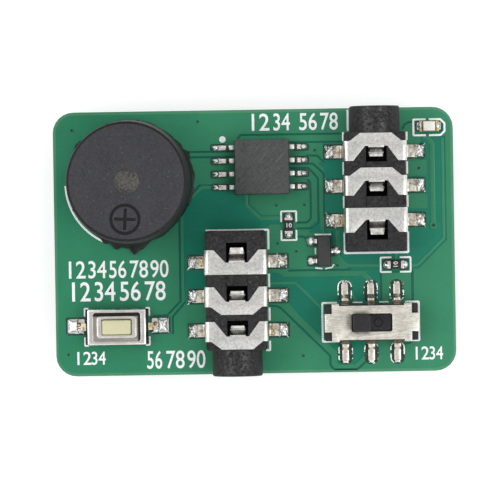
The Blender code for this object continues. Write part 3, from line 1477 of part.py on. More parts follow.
def build_resistor(name, x, y, turn):
    place = carrier(name, x, y, BOARD_TOP_Z, turn)
    top = SEAT_GAP + RESISTOR_HEIGHT
    middle = RESISTOR_LENGTH - 2 * RESISTOR_CAP - 2 * SEAT_GAP
    body = centred_block(middle, RESISTOR_WIDTH, SEAT_GAP, top)
    softened(body, RESISTOR_ROUND)
    piece(f"{name}_body", body, "resistor_ceramic", place)
    cap = centred_block(RESISTOR_CAP, RESISTOR_WIDTH, SEAT_GAP, top)
    softened(cap, RESISTOR_ROUND)
    cap_x = (RESISTOR_LENGTH - RESISTOR_CAP) / 2
    first = piece(f"{name}_first_cap", cap, "tin", place, at=(-cap_x, 0, 0))
    copied(f"{name}_second_cap", first, place, at=(cap_x, 0, 0))


def build_power_light():
    place = carrier("power_light", LED_X, LED_Y, BOARD_TOP_Z)
    base_top = SEAT_GAP + LED_BASE_THICKNESS
    middle = LED_LENGTH - 2 * LED_TERMINAL - 2 * SEAT_GAP
    base = centred_block(middle, LED_WIDTH, SEAT_GAP, base_top)
    piece("led_base", base, "led_laminate", place)
    terminal = centred_block(LED_TERMINAL, LED_WIDTH, SEAT_GAP, base_top)
    softened(terminal, RESISTOR_ROUND)
    terminal_x = (LED_LENGTH - LED_TERMINAL) / 2
    first = piece("led_left_terminal", terminal, "gold_plate", place, at=(-terminal_x, 0, 0))
    copied("led_right_terminal", first, place, at=(terminal_x, 0, 0))
    lens_bottom = base_top + SEAT_GAP
    levels = ((lens_bottom, 0), (lens_bottom + LED_LENS_HEIGHT, LED_LENS_DRAFT))
    lens = tapered_block(LED_LENS_LENGTH, LED_LENS_WIDTH, levels)
    piece("led_lens", lens, "led_lens", place)


build_board()
build_coin_cell()
build_cell_retainer()
build_buzzer()
build_jacks()
build_slide_switch()
build_push_button()
build_chip()
build_transistor()
build_resistor("resistor_1", RESISTOR_1_X, RESISTOR_1_Y, math.pi / 2)
build_resistor("resistor_2", RESISTOR_2_X, RESISTOR_2_Y, 0)
build_power_light()
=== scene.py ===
# %% [markdown]
# # Morse code practice oscillator
# A small green circuit board with a buzzer, two 3.5 mm jacks, a push button, a slide
# switch, a chip and a few tiny parts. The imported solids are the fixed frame. This lesson
# dresses them: it softens their edges, adds copper, ink and solder, and gives every
# surface its finish.

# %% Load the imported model
import math

import bpy
from mathutils import Matrix, Vector


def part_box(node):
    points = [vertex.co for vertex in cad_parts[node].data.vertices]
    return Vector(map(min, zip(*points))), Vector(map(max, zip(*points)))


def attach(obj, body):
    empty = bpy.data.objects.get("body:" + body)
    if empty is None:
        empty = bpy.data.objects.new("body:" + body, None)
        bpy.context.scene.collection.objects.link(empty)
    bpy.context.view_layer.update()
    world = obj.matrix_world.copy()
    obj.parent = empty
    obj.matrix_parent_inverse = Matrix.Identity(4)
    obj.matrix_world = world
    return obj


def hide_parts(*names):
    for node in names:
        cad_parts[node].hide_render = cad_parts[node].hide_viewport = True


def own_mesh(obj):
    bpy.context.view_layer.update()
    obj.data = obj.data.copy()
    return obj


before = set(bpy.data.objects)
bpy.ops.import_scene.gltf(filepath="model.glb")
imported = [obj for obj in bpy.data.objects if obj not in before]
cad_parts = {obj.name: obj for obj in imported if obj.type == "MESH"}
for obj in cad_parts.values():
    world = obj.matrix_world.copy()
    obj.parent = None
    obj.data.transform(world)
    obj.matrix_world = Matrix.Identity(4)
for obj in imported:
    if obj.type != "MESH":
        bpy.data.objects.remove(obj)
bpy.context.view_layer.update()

# %% [markdown]
# ## A bench where one unit is a millimetre
# The object is 38 mm long, and Blender's edit tools are made for metres. Each piece is
# therefore made 1000 times larger, where a merge or a cut has room, and brought back to
# its real size when it is finished. Every tool acts on what is selected, so each step
# starts by picking one object alone.

# %% Picking, finishing and softening
MM = 0.001
BENCH = 1 / MM


def let_go():
    """Leaves nothing selected, in object mode."""
    if bpy.context.mode != "OBJECT":
        bpy.ops.object.mode_set(mode="OBJECT")
    bpy.ops.object.select_all(action="DESELECT")


def pick(obj):
    """Leaves this object alone selected, in object mode."""
    let_go()
    obj.select_set(True)
    bpy.context.view_layer.objects.active = obj


def settle(obj):
    """Applies the object's place, turn and size to its mesh."""
    pick(obj)
    bpy.ops.object.transform_apply(location=True, rotation=True, scale=True)


def clean(obj, merge=0.001, flat=0.3):
    """Merges doubles and joins the triangles that lie in one plane."""
    pick(obj)
    bpy.ops.object.mode_set(mode="EDIT")
    bpy.ops.mesh.select_all(action="SELECT")
    bpy.ops.mesh.remove_doubles(threshold=merge)
    bpy.ops.mesh.dissolve_limited(angle_limit=math.radians(flat))
    bpy.ops.object.mode_set(mode="OBJECT")


def bake(obj):
    """Applies the object's modifiers, in order."""
    pick(obj)
    for modifier in list(obj.modifiers):
        bpy.ops.object.modifier_apply(modifier=modifier.name)


def soften(obj, width, segments=2, angle=30):
    """Rounds the sharp edges, as a mould or a press leaves them."""
    bevel = obj.modifiers.new("soft edges", "BEVEL")
    bevel.width = width
    bevel.segments = segments
    bevel.limit_method = "ANGLE"
    bevel.angle_limit = math.radians(angle)
    bake(obj)


def on_bench(node):
    """A bench copy of one CAD solid, merged and cleaned."""
    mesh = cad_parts[node].data.copy()
    mesh.materials.clear()
    obj = bpy.data.objects.new(node + "_dressed", mesh)
    bpy.context.scene.collection.objects.link(obj)
    pick(obj)
    bpy.ops.mesh.customdata_custom_splitnormals_clear()
    obj.scale = (BENCH,) * 3
    settle(obj)
    clean(obj)
    return obj


def face_outwards(obj):
    """Turns all the faces of a closed piece outwards."""
    pick(obj)
    bpy.ops.object.mode_set(mode="EDIT")
    bpy.ops.mesh.select_all(action="SELECT")
    bpy.ops.mesh.normals_make_consistent(inside=False)
    bpy.ops.object.mode_set(mode="OBJECT")


def merge_into(first, *others):
    """Joins the others to the first as one object."""
    pick(first)
    for other in others:
        other.select_set(True)
    bpy.ops.object.join()
    return first


def paint(obj, slot, chosen):
    """Gives the finish in this slot to the faces whose middle and normal are chosen."""
    for face in obj.data.polygons:
        if chosen(face.center, face.normal):
            face.material_index = slot


def finish_piece(obj, name, looks, body="board_assembly", stands_for=(), angle=35):
    """Brings a piece to its real size and gives it its name, finish and body."""
    obj.scale = (MM,) * 3
    settle(obj)
    pick(obj)
    bpy.ops.object.shade_smooth_by_angle(angle=math.radians(angle))
    obj.name = obj.data.name = name
    for look in looks if isinstance(looks, (list, tuple)) else [looks]:
        obj.data.materials.append(look)
    used = {face.material_index for face in obj.data.polygons}
    unused = set(range(len(obj.data.materials))) - used
    if unused:
        raise RuntimeError(f"{name} has finishes that no face uses: {sorted(unused)}")
    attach(obj, body)
    if stands_for:
        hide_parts(*stands_for)
    return obj


def node_box(node):
    """A CAD solid's lowest and highest corners in bench millimetres."""
    low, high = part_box(node)
    return low * BENCH, high * BENCH


def middle_of(node):
    """The middle of a CAD solid's box."""
    low, high = node_box(node)
    return (low + high) / 2


board_low, board_high = node_box("circuit_board")
BOARD_TOP = board_high.z
BOARD_UNDER = board_low.z
print("board from", round(BOARD_UNDER, 2), "to", round(BOARD_TOP, 2), "mm up")

# %% [markdown]
# ## A small kit for finishes
# Every finish is a few nodes on the piece's own coordinates: noise at the size of the real
# grain, a ramp that turns it into colour or roughness, and a bump that gives it depth. The
# helpers take sizes in millimetres, so that a grain of 0.05 is written as 0.05.

# %% Node helpers


class Finish:
    """One material and the few nodes that the finishes below are made of."""

    def __init__(self, name, colour, roughness, metallic=0.0, **sockets):
        self.material = bpy.data.materials.new(name)
        self.material.use_nodes = True
        self.tree = self.material.node_tree
        self.shader = self.tree.nodes["Principled BSDF"]
        self.shader.inputs["Base Color"].default_value = (*colour, 1)
        self.shader.inputs["Roughness"].default_value = roughness
        self.shader.inputs["Metallic"].default_value = metallic
        for socket, value in sockets.items():
            self.shader.inputs[socket.replace("_", " ")].default_value = value
        self.place = self.node("ShaderNodeTexCoord").outputs["Object"]
        self.relief = None

    def node(self, kind, **settings):
        made = self.tree.nodes.new(kind)
        for key, value in settings.items():
            setattr(made, key, value)
        return made

    def wire(self, start, end):
        self.tree.links.new(start, end)

    def turned(self, turn=(0, 0, 0), stretch=(1, 1, 1), middle=(0, 0, 0)):
        """The piece's coordinates about a middle, turned, with grain drawn out by stretch."""
        mapping = self.node("ShaderNodeMapping", vector_type="TEXTURE")
        mapping.inputs["Location"].default_value = [step * MM for step in middle]
        mapping.inputs["Rotation"].default_value = [math.radians(a) for a in turn]
        mapping.inputs["Scale"].default_value = stretch
        self.wire(self.place, mapping.inputs["Vector"])
        return mapping.outputs["Vector"]

    def noise(self, size, detail=3.0, rough=0.5, twist=0.0, at=None):
        """Cloudy noise with blotches about this many millimetres across."""
        noise = self.node("ShaderNodeTexNoise")
        noise.inputs["Scale"].default_value = BENCH / size
        noise.inputs["Detail"].default_value = detail
        noise.inputs["Roughness"].default_value = rough
        noise.inputs["Distortion"].default_value = twist
        self.wire(at or self.place, noise.inputs["Vector"])
        return noise.outputs["Fac"]

    def specks(self, size, at=None):
        """The distance from scattered points, for specks and pits."""
        cells = self.node("ShaderNodeTexVoronoi")
        cells.inputs["Scale"].default_value = BENCH / size
        self.wire(at or self.place, cells.inputs["Vector"])
        return cells.outputs["Distance"]

    def ramp(self, value, *stops):
        """Turns a value into a colour or a grey, by stops of (place, colour or grey)."""
        ramp = self.node("ShaderNodeValToRGB")
        bar = ramp.color_ramp
        while len(bar.elements) < len(stops):
            bar.elements.new(1.0)
        for element, (at, shade) in zip(bar.elements, stops):
            element.position = at
            element.color = (*shade, 1) if isinstance(shade, tuple) else (shade, shade, shade, 1)
        self.wire(value, ramp.inputs["Fac"])
        return ramp.outputs["Color"]

    def mixed(self, factor, first, second, blend="MIX"):
        """Two colours mixed by a factor. Each is a socket or a colour."""
        mix = self.node("ShaderNodeMix", data_type="RGBA", blend_type=blend)
        colours = [socket for socket in mix.inputs if socket.type == "RGBA"]
        if isinstance(factor, (int, float)):
            mix.inputs[0].default_value = factor
        else:
            self.wire(factor, mix.inputs[0])
        for socket, value in zip(colours, (first, second)):
            if isinstance(value, tuple):
                socket.default_value = (*value, 1)
            else:
                self.wire(value, socket)
        return [socket for socket in mix.outputs if socket.type == "RGBA"][0]

    def sums(self, first, second, operation="ADD"):
        """Arithmetic on two values. Each is a socket or a number."""
        maths = self.node("ShaderNodeMath", operation=operation)
        for socket, value in zip(maths.inputs, (first, second)):
            if isinstance(value, (int, float)):
                socket.default_value = value
            else:
                self.wire(value, socket)
        return maths.outputs["Value"]

    def colour(self, socket):
        self.wire(socket, self.shader.inputs["Base Color"])

    def roughness(self, socket):
        self.wire(socket, self.shader.inputs["Roughness"])

    def bump(self, height, depth, strength=1.0):
        """Relief this many millimetres deep, on top of any relief so far."""
        bump = self.node("ShaderNodeBump")
        bump.inputs["Strength"].default_value = strength
        bump.inputs["Distance"].default_value = depth * MM
        self.wire(height, bump.inputs["Height"])
        if self.relief:
            self.wire(self.relief, bump.inputs["Normal"])
        self.relief = bump.outputs["Normal"]
        self.wire(self.relief, self.shader.inputs["Normal"])

    def along(self, axis, start, end):
        """From 0 to 1 between two places along an axis, in millimetres."""
        parts = self.node("ShaderNodeSeparateXYZ")
        self.wire(self.place, parts.inputs["Vector"])
        span = self.node("ShaderNodeMapRange")
        self.wire(parts.outputs[axis], span.inputs["Value"])
        span.inputs["From Min"].default_value = start * MM
        span.inputs["From Max"].default_value = end * MM
        return span.outputs["Result"]


# %% [markdown]
# ## Green solder mask, over copper and over bare laminate
# The mask is one thin green varnish. Where copper lies under it, it looks light and milky,
# and over the bare laminate it looks dark and blue. One recipe with two colours makes both,
# so that the board reads as one varnish. The varnish is smooth but not flat: a slow ripple
# bends its reflections, and fine dust breaks them.

# %% Solder mask finishes


def solder_mask(name, light, dark):
    look = Finish(name, light, 0.32, Specular_IOR_Level=0.15)
    cloud = look.noise(6.0, 4, 0.55)
    dust = look.noise(0.25, 5, 0.6)
    body = look.mixed(look.ramp(cloud, (0.35, 0.0), (0.65, 1.0)), dark, light)
    # Painted light: the mask turns a little paler towards the right, where more light falls.
    painted_light_rightwards = look.ramp(look.along("X", -14, 16), (0.0, 0.0), (1.0, 0.06))
    body = look.mixed(painted_light_rightwards, body, (0.26, 0.52, 0.34))
    look.colour(look.mixed(look.ramp(dust, (0.55, 0.0), (0.85, 0.05)), body, (0.3, 0.5, 0.4)))
    look.roughness(look.ramp(dust, (0.3, 0.26), (0.7, 0.42)))
    look.bump(look.noise(1.6, 2), 0.02, 0.3)
    look.bump(dust, 0.004, 0.4)
    return look.material


MASK_ON_COPPER = solder_mask("mask over copper", (0.033, 0.236, 0.124), (0.026, 0.204, 0.107))
MASK_ON_LAMINATE = solder_mask("mask over laminate", (0.003, 0.205, 0.132), (0.002, 0.170, 0.110))
# Over the copper's edges the mask is paler: partly thinner mask, partly painted highlight.
MASK_ON_EDGES_PAINTED_HIGHLIGHT = solder_mask("mask over edges, thinned, painted highlight", (0.100, 0.330, 0.170), (0.070, 0.270, 0.140))
# Round the board's border the mask is paler, as painted light through the laminate's edge.
MASK_AT_RIM_PAINTED_LIGHT = solder_mask("mask at the rim, painted light", (0.090, 0.290, 0.160), (0.060, 0.240, 0.130))
MASK_IN_CHANNELS = solder_mask("mask in channels", (0.003, 0.125, 0.088), (0.002, 0.100, 0.070))
print("mask:", MASK_ON_COPPER.name, "and", MASK_ON_LAMINATE.name)

# %% [markdown]
# ## The laminate's cut edge
# The board is glass cloth in resin, so its routed edge shows pale layers and loose fibre
# ends. Noise stretched along the edge gives the layers, and a fine speck gives the fibres.

# %% Laminate edge finish
look = Finish("cut laminate", (0.42, 0.44, 0.2), 0.7)
layers = look.noise(0.25, 3, 0.6, at=look.turned(stretch=(25, 25, 1)))
fibres = look.noise(0.08, 4, 0.7)
tone = look.ramp(
    layers, (0.3, (0.17, 0.2, 0.09)), (0.5, (0.36, 0.36, 0.18)), (0.72, (0.52, 0.5, 0.3)))
look.colour(look.mixed(look.ramp(fibres, (0.5, 0.0), (0.8, 0.5)), tone, (0.62, 0.6, 0.42)))
look.bump(layers, 0.03, 0.5)
look.bump(fibres, 0.02, 0.5)
LAMINATE_EDGE = look.material
print("edge:", LAMINATE_EDGE.name)

# %% [markdown]
# ## Printed ink and bare metal on the board
# The white legend is a thick matt ink, a little uneven. Bare pads are tinned, and solder
# on them is bright and wrinkled, with amber flux left in its hollows. Bumps carry most of
# that: the brightest parts are mirror-like hollows next to dull crystals.

# %% Ink, tin and solder finishes
look = Finish("white legend ink", (0.9, 0.92, 0.93), 0.6)
look.colour(look.ramp(look.noise(0.3, 4), (0.3, (0.82, 0.87, 0.88)), (0.55, (0.94, 0.96, 0.97))))
look.bump(look.noise(0.12, 3), 0.01, 0.5)
INK = look.material


def bright_metal(name, light, dark, grain, roughness=(0.22, 0.45), depth=0.01, flux=0.0):
    """Tin, solder and plating: mottled tone, uneven gloss and, if asked, amber flux."""
    look = Finish(name, light, roughness[0], 1.0)
    blotch = look.noise(grain, 4, 0.6, 0.6)
    fine = look.noise(grain / 6, 3, 0.6)
    tone = look.ramp(blotch, (0.35, dark), (0.62, light))
    if flux:
        stain = look.ramp(look.noise(0.55, 2, 0.5, 0.4), (0.62 - flux / 4, 0.0), (0.72, 0.9))
        tone = look.mixed(stain, tone, (0.40, 0.22, 0.06))
    look.colour(tone)
    look.roughness(look.ramp(fine, (0.35, roughness[0]), (0.7, roughness[1])))
    look.bump(blotch, depth, 0.8)
    look.bump(fine, depth / 3, 0.6)
    return look.material


TIN = bright_metal(
    "tinned lead", (0.93, 0.92, 0.89), (0.70, 0.69, 0.66), 0.3, (0.25, 0.45), 0.012)
CREAM_TIN = bright_metal(
    "tinned switch pin", (0.90, 0.86, 0.78), (0.66, 0.61, 0.53), 0.35, (0.25, 0.4), 0.012)
MATT_TIN = bright_metal(
    "matt tin", (0.96, 0.95, 0.93), (0.80, 0.79, 0.76), 0.3, (0.45, 0.6), 0.012)
DARK_TIN = bright_metal(
    "dark tin of the slope", (0.15, 0.12, 0.09), (0.05, 0.04, 0.03), 0.2, (0.35, 0.5), 0.01)
# A brown brass tone with painted shade, for the slide switch's pin necks.
BROWN_NECK_AND_PAINTED_SHADE = bright_metal(
    "brown neck and painted shade", (0.36, 0.25, 0.17), (0.13, 0.085, 0.055), 0.25, (0.3, 0.5), 0.02)
SOLDER = bright_metal(
    "solder", (0.99, 0.99, 0.98), (0.48, 0.48, 0.47), 0.3, (0.12, 0.3), 0.08, flux=0.1)
BRIGHT_SOLDER = bright_metal(
    "bright solder", (0.99, 0.99, 0.98), (0.58, 0.58, 0.57), 0.4, (0.2, 0.4), 0.05)
FLUX = bright_metal(
    "amber flux on tin", (0.85, 0.66, 0.36), (0.10, 0.06, 0.025), 0.16, (0.15, 0.35), 0.04)
NICKEL = bright_metal(
    "stamped nickel strap", (0.85, 0.845, 0.81), (0.60, 0.595, 0.57), 0.2, (0.26, 0.45), 0.012)
STAINED = bright_metal(
    "flux-stained foot", (0.80, 0.76, 0.68), (0.26, 0.22, 0.16), 0.4, (0.25, 0.45), 0.02)
TONGUE = bright_metal(
    "spring tongue", (0.90, 0.89, 0.84), (0.56, 0.55, 0.51), 0.5, (0.18, 0.32), 0.01)
# The spring tongue's metal with painted shade, for its falling slope.
TONGUE_PAINTED_SHADE = bright_metal(
    "spring tongue, painted shade", (0.48, 0.47, 0.44), (0.24, 0.235, 0.22), 0.4, (0.2, 0.35), 0.01)
WORN_GOLD = bright_metal("worn gold plate", (0.94, 0.85, 0.62), (0.60, 0.50, 0.30), 0.35)
GOLD = bright_metal("gold plate", (0.90, 0.72, 0.36), (0.55, 0.40, 0.16), 0.3)
SPRING_STEEL = bright_metal(
    "spring steel", (0.62, 0.60, 0.57), (0.54, 0.52, 0.49), 1.2, (0.3, 0.42), 0.003)
SOFT_IRON = bright_metal("soft iron", (0.45, 0.45, 0.46), (0.3, 0.3, 0.31), 1.0, (0.35, 0.5))

look = Finish("slide switch cover", (0.81, 0.78, 0.71), 0.4, 1.0)
brushed = look.noise(0.1, 4, 0.65, at=look.turned(stretch=(4.5, 1, 1)))
look.colour(look.ramp(brushed, (0.34, (0.57, 0.54, 0.47)), (0.64, (0.87, 0.84, 0.76))))
look.roughness(look.ramp(look.noise(0.5, 3), (0.3, 0.34), (0.7, 0.48)))
look.bump(brushed, 0.006, 0.6)
COVER_STEEL = look.material

# The lid's colour carries painted shade: darker low in its trough, and darkest in the trough
# along its back and its right side.
look = Finish("drawn switch lid, painted shade", (0.88, 0.87, 0.83), 0.24, 1.0)
smear = look.noise(0.7, 3, 0.5, 0.5)
rise = look.along("Z", 6.5, 6.8)
painted_trough_shade = look.ramp(rise, (0.0, 0.62), (0.5, 0.7), (0.9, 1.0))
tone = look.ramp(smear, (0.3, (0.84, 0.82, 0.78)), (0.65, (0.96, 0.95, 0.92)))
shaded = look.mixed(1.0, tone, painted_trough_shade, "MULTIPLY")
behind = look.ramp(
    look.along("Y", -7.1, -6.55),
    (0.1, (0.9, 0.86, 0.80)), (0.4, (0.05, 0.045, 0.04)), (1.0, (0.12, 0.11, 0.10)))
beside = look.ramp(
    look.along("X", -11.5, -11.0),
    (0.1, (1.0, 1.0, 1.0)), (0.5, (0.07, 0.06, 0.05)), (1.0, (0.15, 0.14, 0.12)))
shadow = look.mixed(1.0, behind, beside, "DARKEN")
deep = look.mixed(look.ramp(rise, (0.1, 1.0), (0.5, 0.0)), (1.0, 1.0, 1.0), shadow)
look.colour(look.mixed(1.0, shaded, deep, "MULTIPLY"))
look.roughness(look.ramp(smear, (0.3, 0.14), (0.7, 0.24)))
look.bump(smear, 0.003, 0.4)
DRAWN_STEEL_PAINTED_SHADE = look.material

look = Finish("diaphragm steel", (0.5, 0.47, 0.42), 0.6, 0.25)
grain = look.noise(0.22, 4, 0.7)
look.colour(look.ramp(grain, (0.34, (0.40, 0.38, 0.33)), (0.62, (1.0, 0.98, 0.92))))
look.bump(grain, 0.02, 0.6)
DIAPHRAGM = look.material
print("metals made")

# %% [markdown]
# ## The coin cell's can
# A pressed can is polished in a spin, so fine rings run round its middle. The Mapping node
# centres a wave of rings on the cell, whose middle is not the board's.

# %% Coin cell finish
cell_middle = middle_of("coin_cell")
look = Finish("cell can", (0.72, 0.71, 0.68), 0.25, 1.0)
centred = look.turned(middle=(cell_middle.x, cell_middle.y, 0))
rings = look.node("ShaderNodeTexWave", wave_type="RINGS", rings_direction="Z")
rings.inputs["Scale"].default_value = BENCH / 0.6
rings.inputs["Distortion"].default_value = 0.6
rings.inputs["Detail"].default_value = 3
look.wire(centred, rings.inputs["Vector"])
smear = look.noise(2.0, 4, 0.6)
look.colour(look.ramp(smear, (0.3, (0.6, 0.59, 0.56)), (0.7, (0.76, 0.75, 0.72))))
look.roughness(look.ramp(rings.outputs["Fac"], (0.2, 0.24), (0.8, 0.32)))
look.bump(rings.outputs["Fac"], 0.0008, 0.4)
CELL_CAN = look.material
print("cell's rings about", [round(x, 2) for x in cell_middle.xy])

# %% [markdown]
# ## Black and dark plastics
# The buzzer, the jacks and the switch bodies are black, but each differs: the buzzer's top
# is a speckled satin grey, the jacks are matt with fine pores, the chip is a filled epoxy
# with scratches, and the potting resin is glossy and lumpy. A jack's round nose gets two
# bands of painted sheen, and painted shade on its flanks, from a ramp across it.

# %% Plastic finishes


def moulding(name, light, dark, size, roughness=(0.45, 0.65), depth=0.012,
             scratches=0.0, dust=0.0, gloss=0.25):
    """A moulded plastic with fine specks, and scratches or pale dust if asked."""
    look = Finish(name, light, roughness[0], Specular_IOR_Level=gloss)
    fine = look.noise(size, 4, 0.65)
    slow = look.noise(size * 9, 3, 0.5)
    tone = look.mixed(look.ramp(fine, (0.35, 0.0), (0.68, 1.0)), dark, light)
    tone = look.mixed(look.ramp(slow, (0.35, 0.0), (0.7, 0.35)), tone, light)
    if dust:
        spots = look.ramp(look.specks(0.55), (0.04, dust), (0.13, 0.0))
        tone = look.mixed(spots, tone, (0.42, 0.42, 0.42))
    if scratches:
        for turn in (40, 50):
            lines = look.noise(0.075, 3, 0.5, at=look.turned((0, 0, turn), (26, 1, 1)))
            marks = look.ramp(lines, (0.56, 0.0), (0.74, scratches))
            tone = look.mixed(marks, tone, (0.30, 0.30, 0.30))
    look.colour(tone)
    look.roughness(look.ramp(fine, (0.3, roughness[1]), (0.7, roughness[0])))
    look.bump(fine, depth, 0.7)
    return look.material


def nose_plastic(name, middle):
    """A jack's nose: two speckled bands of painted sheen, and painted shade on its flanks."""
    look = Finish(name, (0.03, 0.03, 0.03), 0.55, Specular_IOR_Level=0.16)
    fine = look.noise(0.3, 4, 0.65)
    specks = look.ramp(fine, (0.35, 0.0), (0.68, 1.0))
    body = look.mixed(specks, (0.009, 0.009, 0.009), (0.044, 0.044, 0.045))
    across = look.along("X", middle - 2.45, middle + 2.25)
    sheen = look.ramp(
        across, (0.22, 0.0), (0.36, 1.0), (0.48, 0.15), (0.54, 0.15), (0.63, 1.0), (0.78, 0.0))
    grains = look.ramp(look.noise(0.35, 3, 0.7), (0.44, 0.0), (0.68, 0.8))
    lit = look.mixed(look.sums(sheen, grains, "MULTIPLY"), body, (0.15, 0.15, 0.16))
    # Painted shade on both flanks of the round nose.
    painted_flank_shade = look.ramp(across, (0.0, 0.75), (0.2, 0.0), (0.86, 0.0), (1.0, 0.75))
    look.colour(look.mixed(painted_flank_shade, lit, (0.012, 0.012, 0.012)))
    look.bump(fine, 0.035, 0.7)
    return look.material


JACK_PLASTIC = moulding(
    "matt black jack", (0.040, 0.040, 0.041), (0.008, 0.008, 0.008), 0.3,
    depth=0.035, dust=0.25, gloss=0.16)
SWITCH_PLASTIC = moulding(
    "switch base plastic", (0.030, 0.030, 0.032), (0.014, 0.014, 0.016), 0.2)
KNOB_PLASTIC = moulding(
    "slide knob plastic", (0.028, 0.027, 0.029), (0.017, 0.016, 0.018), 0.3, (0.35, 0.5))
# The slide's plate is the knob's plastic with painted shade.
PLATE_PLASTIC_PAINTED_SHADE = moulding(
    "slide plate plastic", (0.020, 0.021, 0.025), (0.012, 0.012, 0.015), 0.3, (0.35, 0.5))
BUZZER_PLASTIC = moulding(
    "buzzer case plastic", (0.050, 0.051, 0.058), (0.028, 0.028, 0.033), 0.2,
    (0.42, 0.6), 0.014, dust=0.2)
# The buzzer's side wall is the case's plastic with painted shade.
BUZZER_WALL_PAINTED_SHADE = moulding(
    "buzzer's side wall, painted shade", (0.022, 0.022, 0.025), (0.012, 0.012, 0.014), 0.2, (0.5, 0.65))
# Black for pressed and moulded marks, and also painted shade on some edges.
BLACK_MARKS_AND_PAINTED_SHADE = moulding(
    "black marks and painted shade", (0.012, 0.012, 0.013), (0.006, 0.006, 0.007), 0.2)
CHIP_EPOXY = moulding(
    "chip epoxy", (0.080, 0.084, 0.084), (0.045, 0.047, 0.048), 0.2, scratches=0.2, dust=0.2)
TRANSISTOR_EPOXY = moulding(
    "transistor epoxy", (0.058, 0.058, 0.059), (0.040, 0.040, 0.041), 0.2)
RESISTOR_GLAZE = moulding(
    "resistor glaze", (0.045, 0.042, 0.040), (0.020, 0.018, 0.017), 0.12, (0.2, 0.4))
PHENOLIC = moulding("phenolic card", (0.34, 0.2, 0.09), (0.2, 0.11, 0.05), 0.25)
FERRITE = moulding("ferrite ring", (0.10, 0.10, 0.105), (0.05, 0.05, 0.055), 0.15)
CREAM_PLASTIC = moulding(
    "cream button", (0.65, 0.63, 0.41), (0.60, 0.575, 0.37), 0.3, depth=0.006)
LED_LAMINATE = moulding("light's base", (0.48, 0.40, 0.22), (0.10, 0.085, 0.05), 0.3)

look = Finish("potting resin", (0.008, 0.008, 0.009), 0.35, Specular_IOR_Level=0.3)
lumps = look.noise(0.8, 4, 0.6)
look.colour(look.ramp(lumps, (0.3, (0.004, 0.004, 0.005)), (0.7, (0.018, 0.018, 0.020))))
look.roughness(look.ramp(look.noise(0.3, 3), (0.3, 0.2), (0.7, 0.5)))
look.bump(lumps, 0.06, 0.7)
RESIN = look.material
print("plastics made")

# %% [markdown]
# ## The power light's lens and the buzzer's wire
# The lens is clear epoxy over a pale chip, so it looks like milky glass with a greenish
# tint. The coil is hundreds of turns of varnished copper wire: a wave of 0.1 mm light and
# 0.1 mm dark bands gives them without modelling each. At a scale of 1, a wave texture's
# light and dark bands are each pi / 20 wide, which its scale makes up for.

# %% Lens and coil finishes
look = Finish("light's lens", (0.86, 0.85, 0.76), 0.18, Transmission_Weight=0.05, IOR=1.5)
milk = look.noise(0.4, 3, 0.5)
look.colour(look.ramp(milk, (0.3, (0.80, 0.80, 0.70)), (0.6, (0.96, 0.95, 0.89))))
look.roughness(look.ramp(look.noise(0.15, 3), (0.3, 0.12), (0.7, 0.3)))
look.bump(milk, 0.02, 0.4)
LENS = look.material

look = Finish("coil of enamelled wire", (0.6, 0.22, 0.08), 0.3, 1.0, Coat_Weight=0.5)
turns = look.node("ShaderNodeTexWave", bands_direction="Z", wave_profile="SIN")
turns.inputs["Scale"].default_value = BENCH / 0.1 / 20 * math.pi
look.wire(look.place, turns.inputs["Vector"])
look.colour(look.ramp(turns.outputs["Fac"], (0.2, (0.25, 0.07, 0.03)), (0.7, (0.72, 0.29, 0.12))))
look.roughness(look.ramp(look.noise(0.2, 3), (0.3, 0.2), (0.7, 0.4)))
look.bump(turns.outputs["Fac"], 0.05, 0.8)
COIL_WIRE = look.material
print("finishes:", len([m for m in bpy.data.materials if m.use_nodes]))

# %% [markdown]
# ## Drawing on the board
# Copper, ink and cut-outs all start as a line: one vertex is extruded from corner to
# corner, as with a pen. Closed and filled, the line is an outline to extrude. Swept with a
# small cross-section, it is a trace or a printed line.

# %% The pen
# Heights above the board's laminate, in millimetres. What is printed or plated starts just
# inside the laminate, so that no gap shows under it.
COPPER = 0.05
INK_HEIGHT = 0.075
ROOT = -0.02


def draw(points):
    """A wire through the points, in mm on the board's upper face, left in edit mode."""
    let_go()
    bpy.ops.mesh.primitive_plane_add(size=1, enter_editmode=True)
    bpy.ops.mesh.merge(type="CENTER")
    at = Vector((*points[0], BOARD_TOP))
    bpy.ops.transform.translate(value=at)
    for x, y in points[1:]:
        step = Vector((x - at.x, y - at.y, 0))
        bpy.ops.mesh.extrude_region_move(TRANSFORM_OT_translate={"value": step})
        at += step
    return bpy.context.object


def ring_of(middle, radius, steps):
    """A round outline's points."""
    turns = [math.tau * step / steps for step in range(steps)]
    return [(middle[0] + radius * math.cos(a), middle[1] + radius * math.sin(a)) for a in turns]


def rectangle(x, y, width, depth, corner, steps=3):
    """A rectangle's outline, with each corner rounded in a few steps."""
    half_x, half_y = width / 2 - corner, depth / 2 - corner
    path = []
    for quarter, (sx, sy) in enumerate(((1, 1), (-1, 1), (-1, -1), (1, -1))):
        for step in range(steps + 1):
            turn = math.pi / 2 * (quarter + step / steps)
            path.append((x + sx * half_x + corner * math.cos(turn),
                         y + sy * half_y + corner * math.sin(turn)))
    return path


def slab(points, low, high):
    """A closed outline filled and extruded from low to high above the board."""
    obj = draw(points)
    bpy.ops.mesh.select_all(action="SELECT")
    bpy.ops.mesh.edge_face_add()
    bpy.ops.transform.translate(value=(0, 0, low))
    bpy.ops.mesh.extrude_region_move(TRANSFORM_OT_translate={"value": (0, 0, high - low)})
    face_outwards(obj)
    return obj


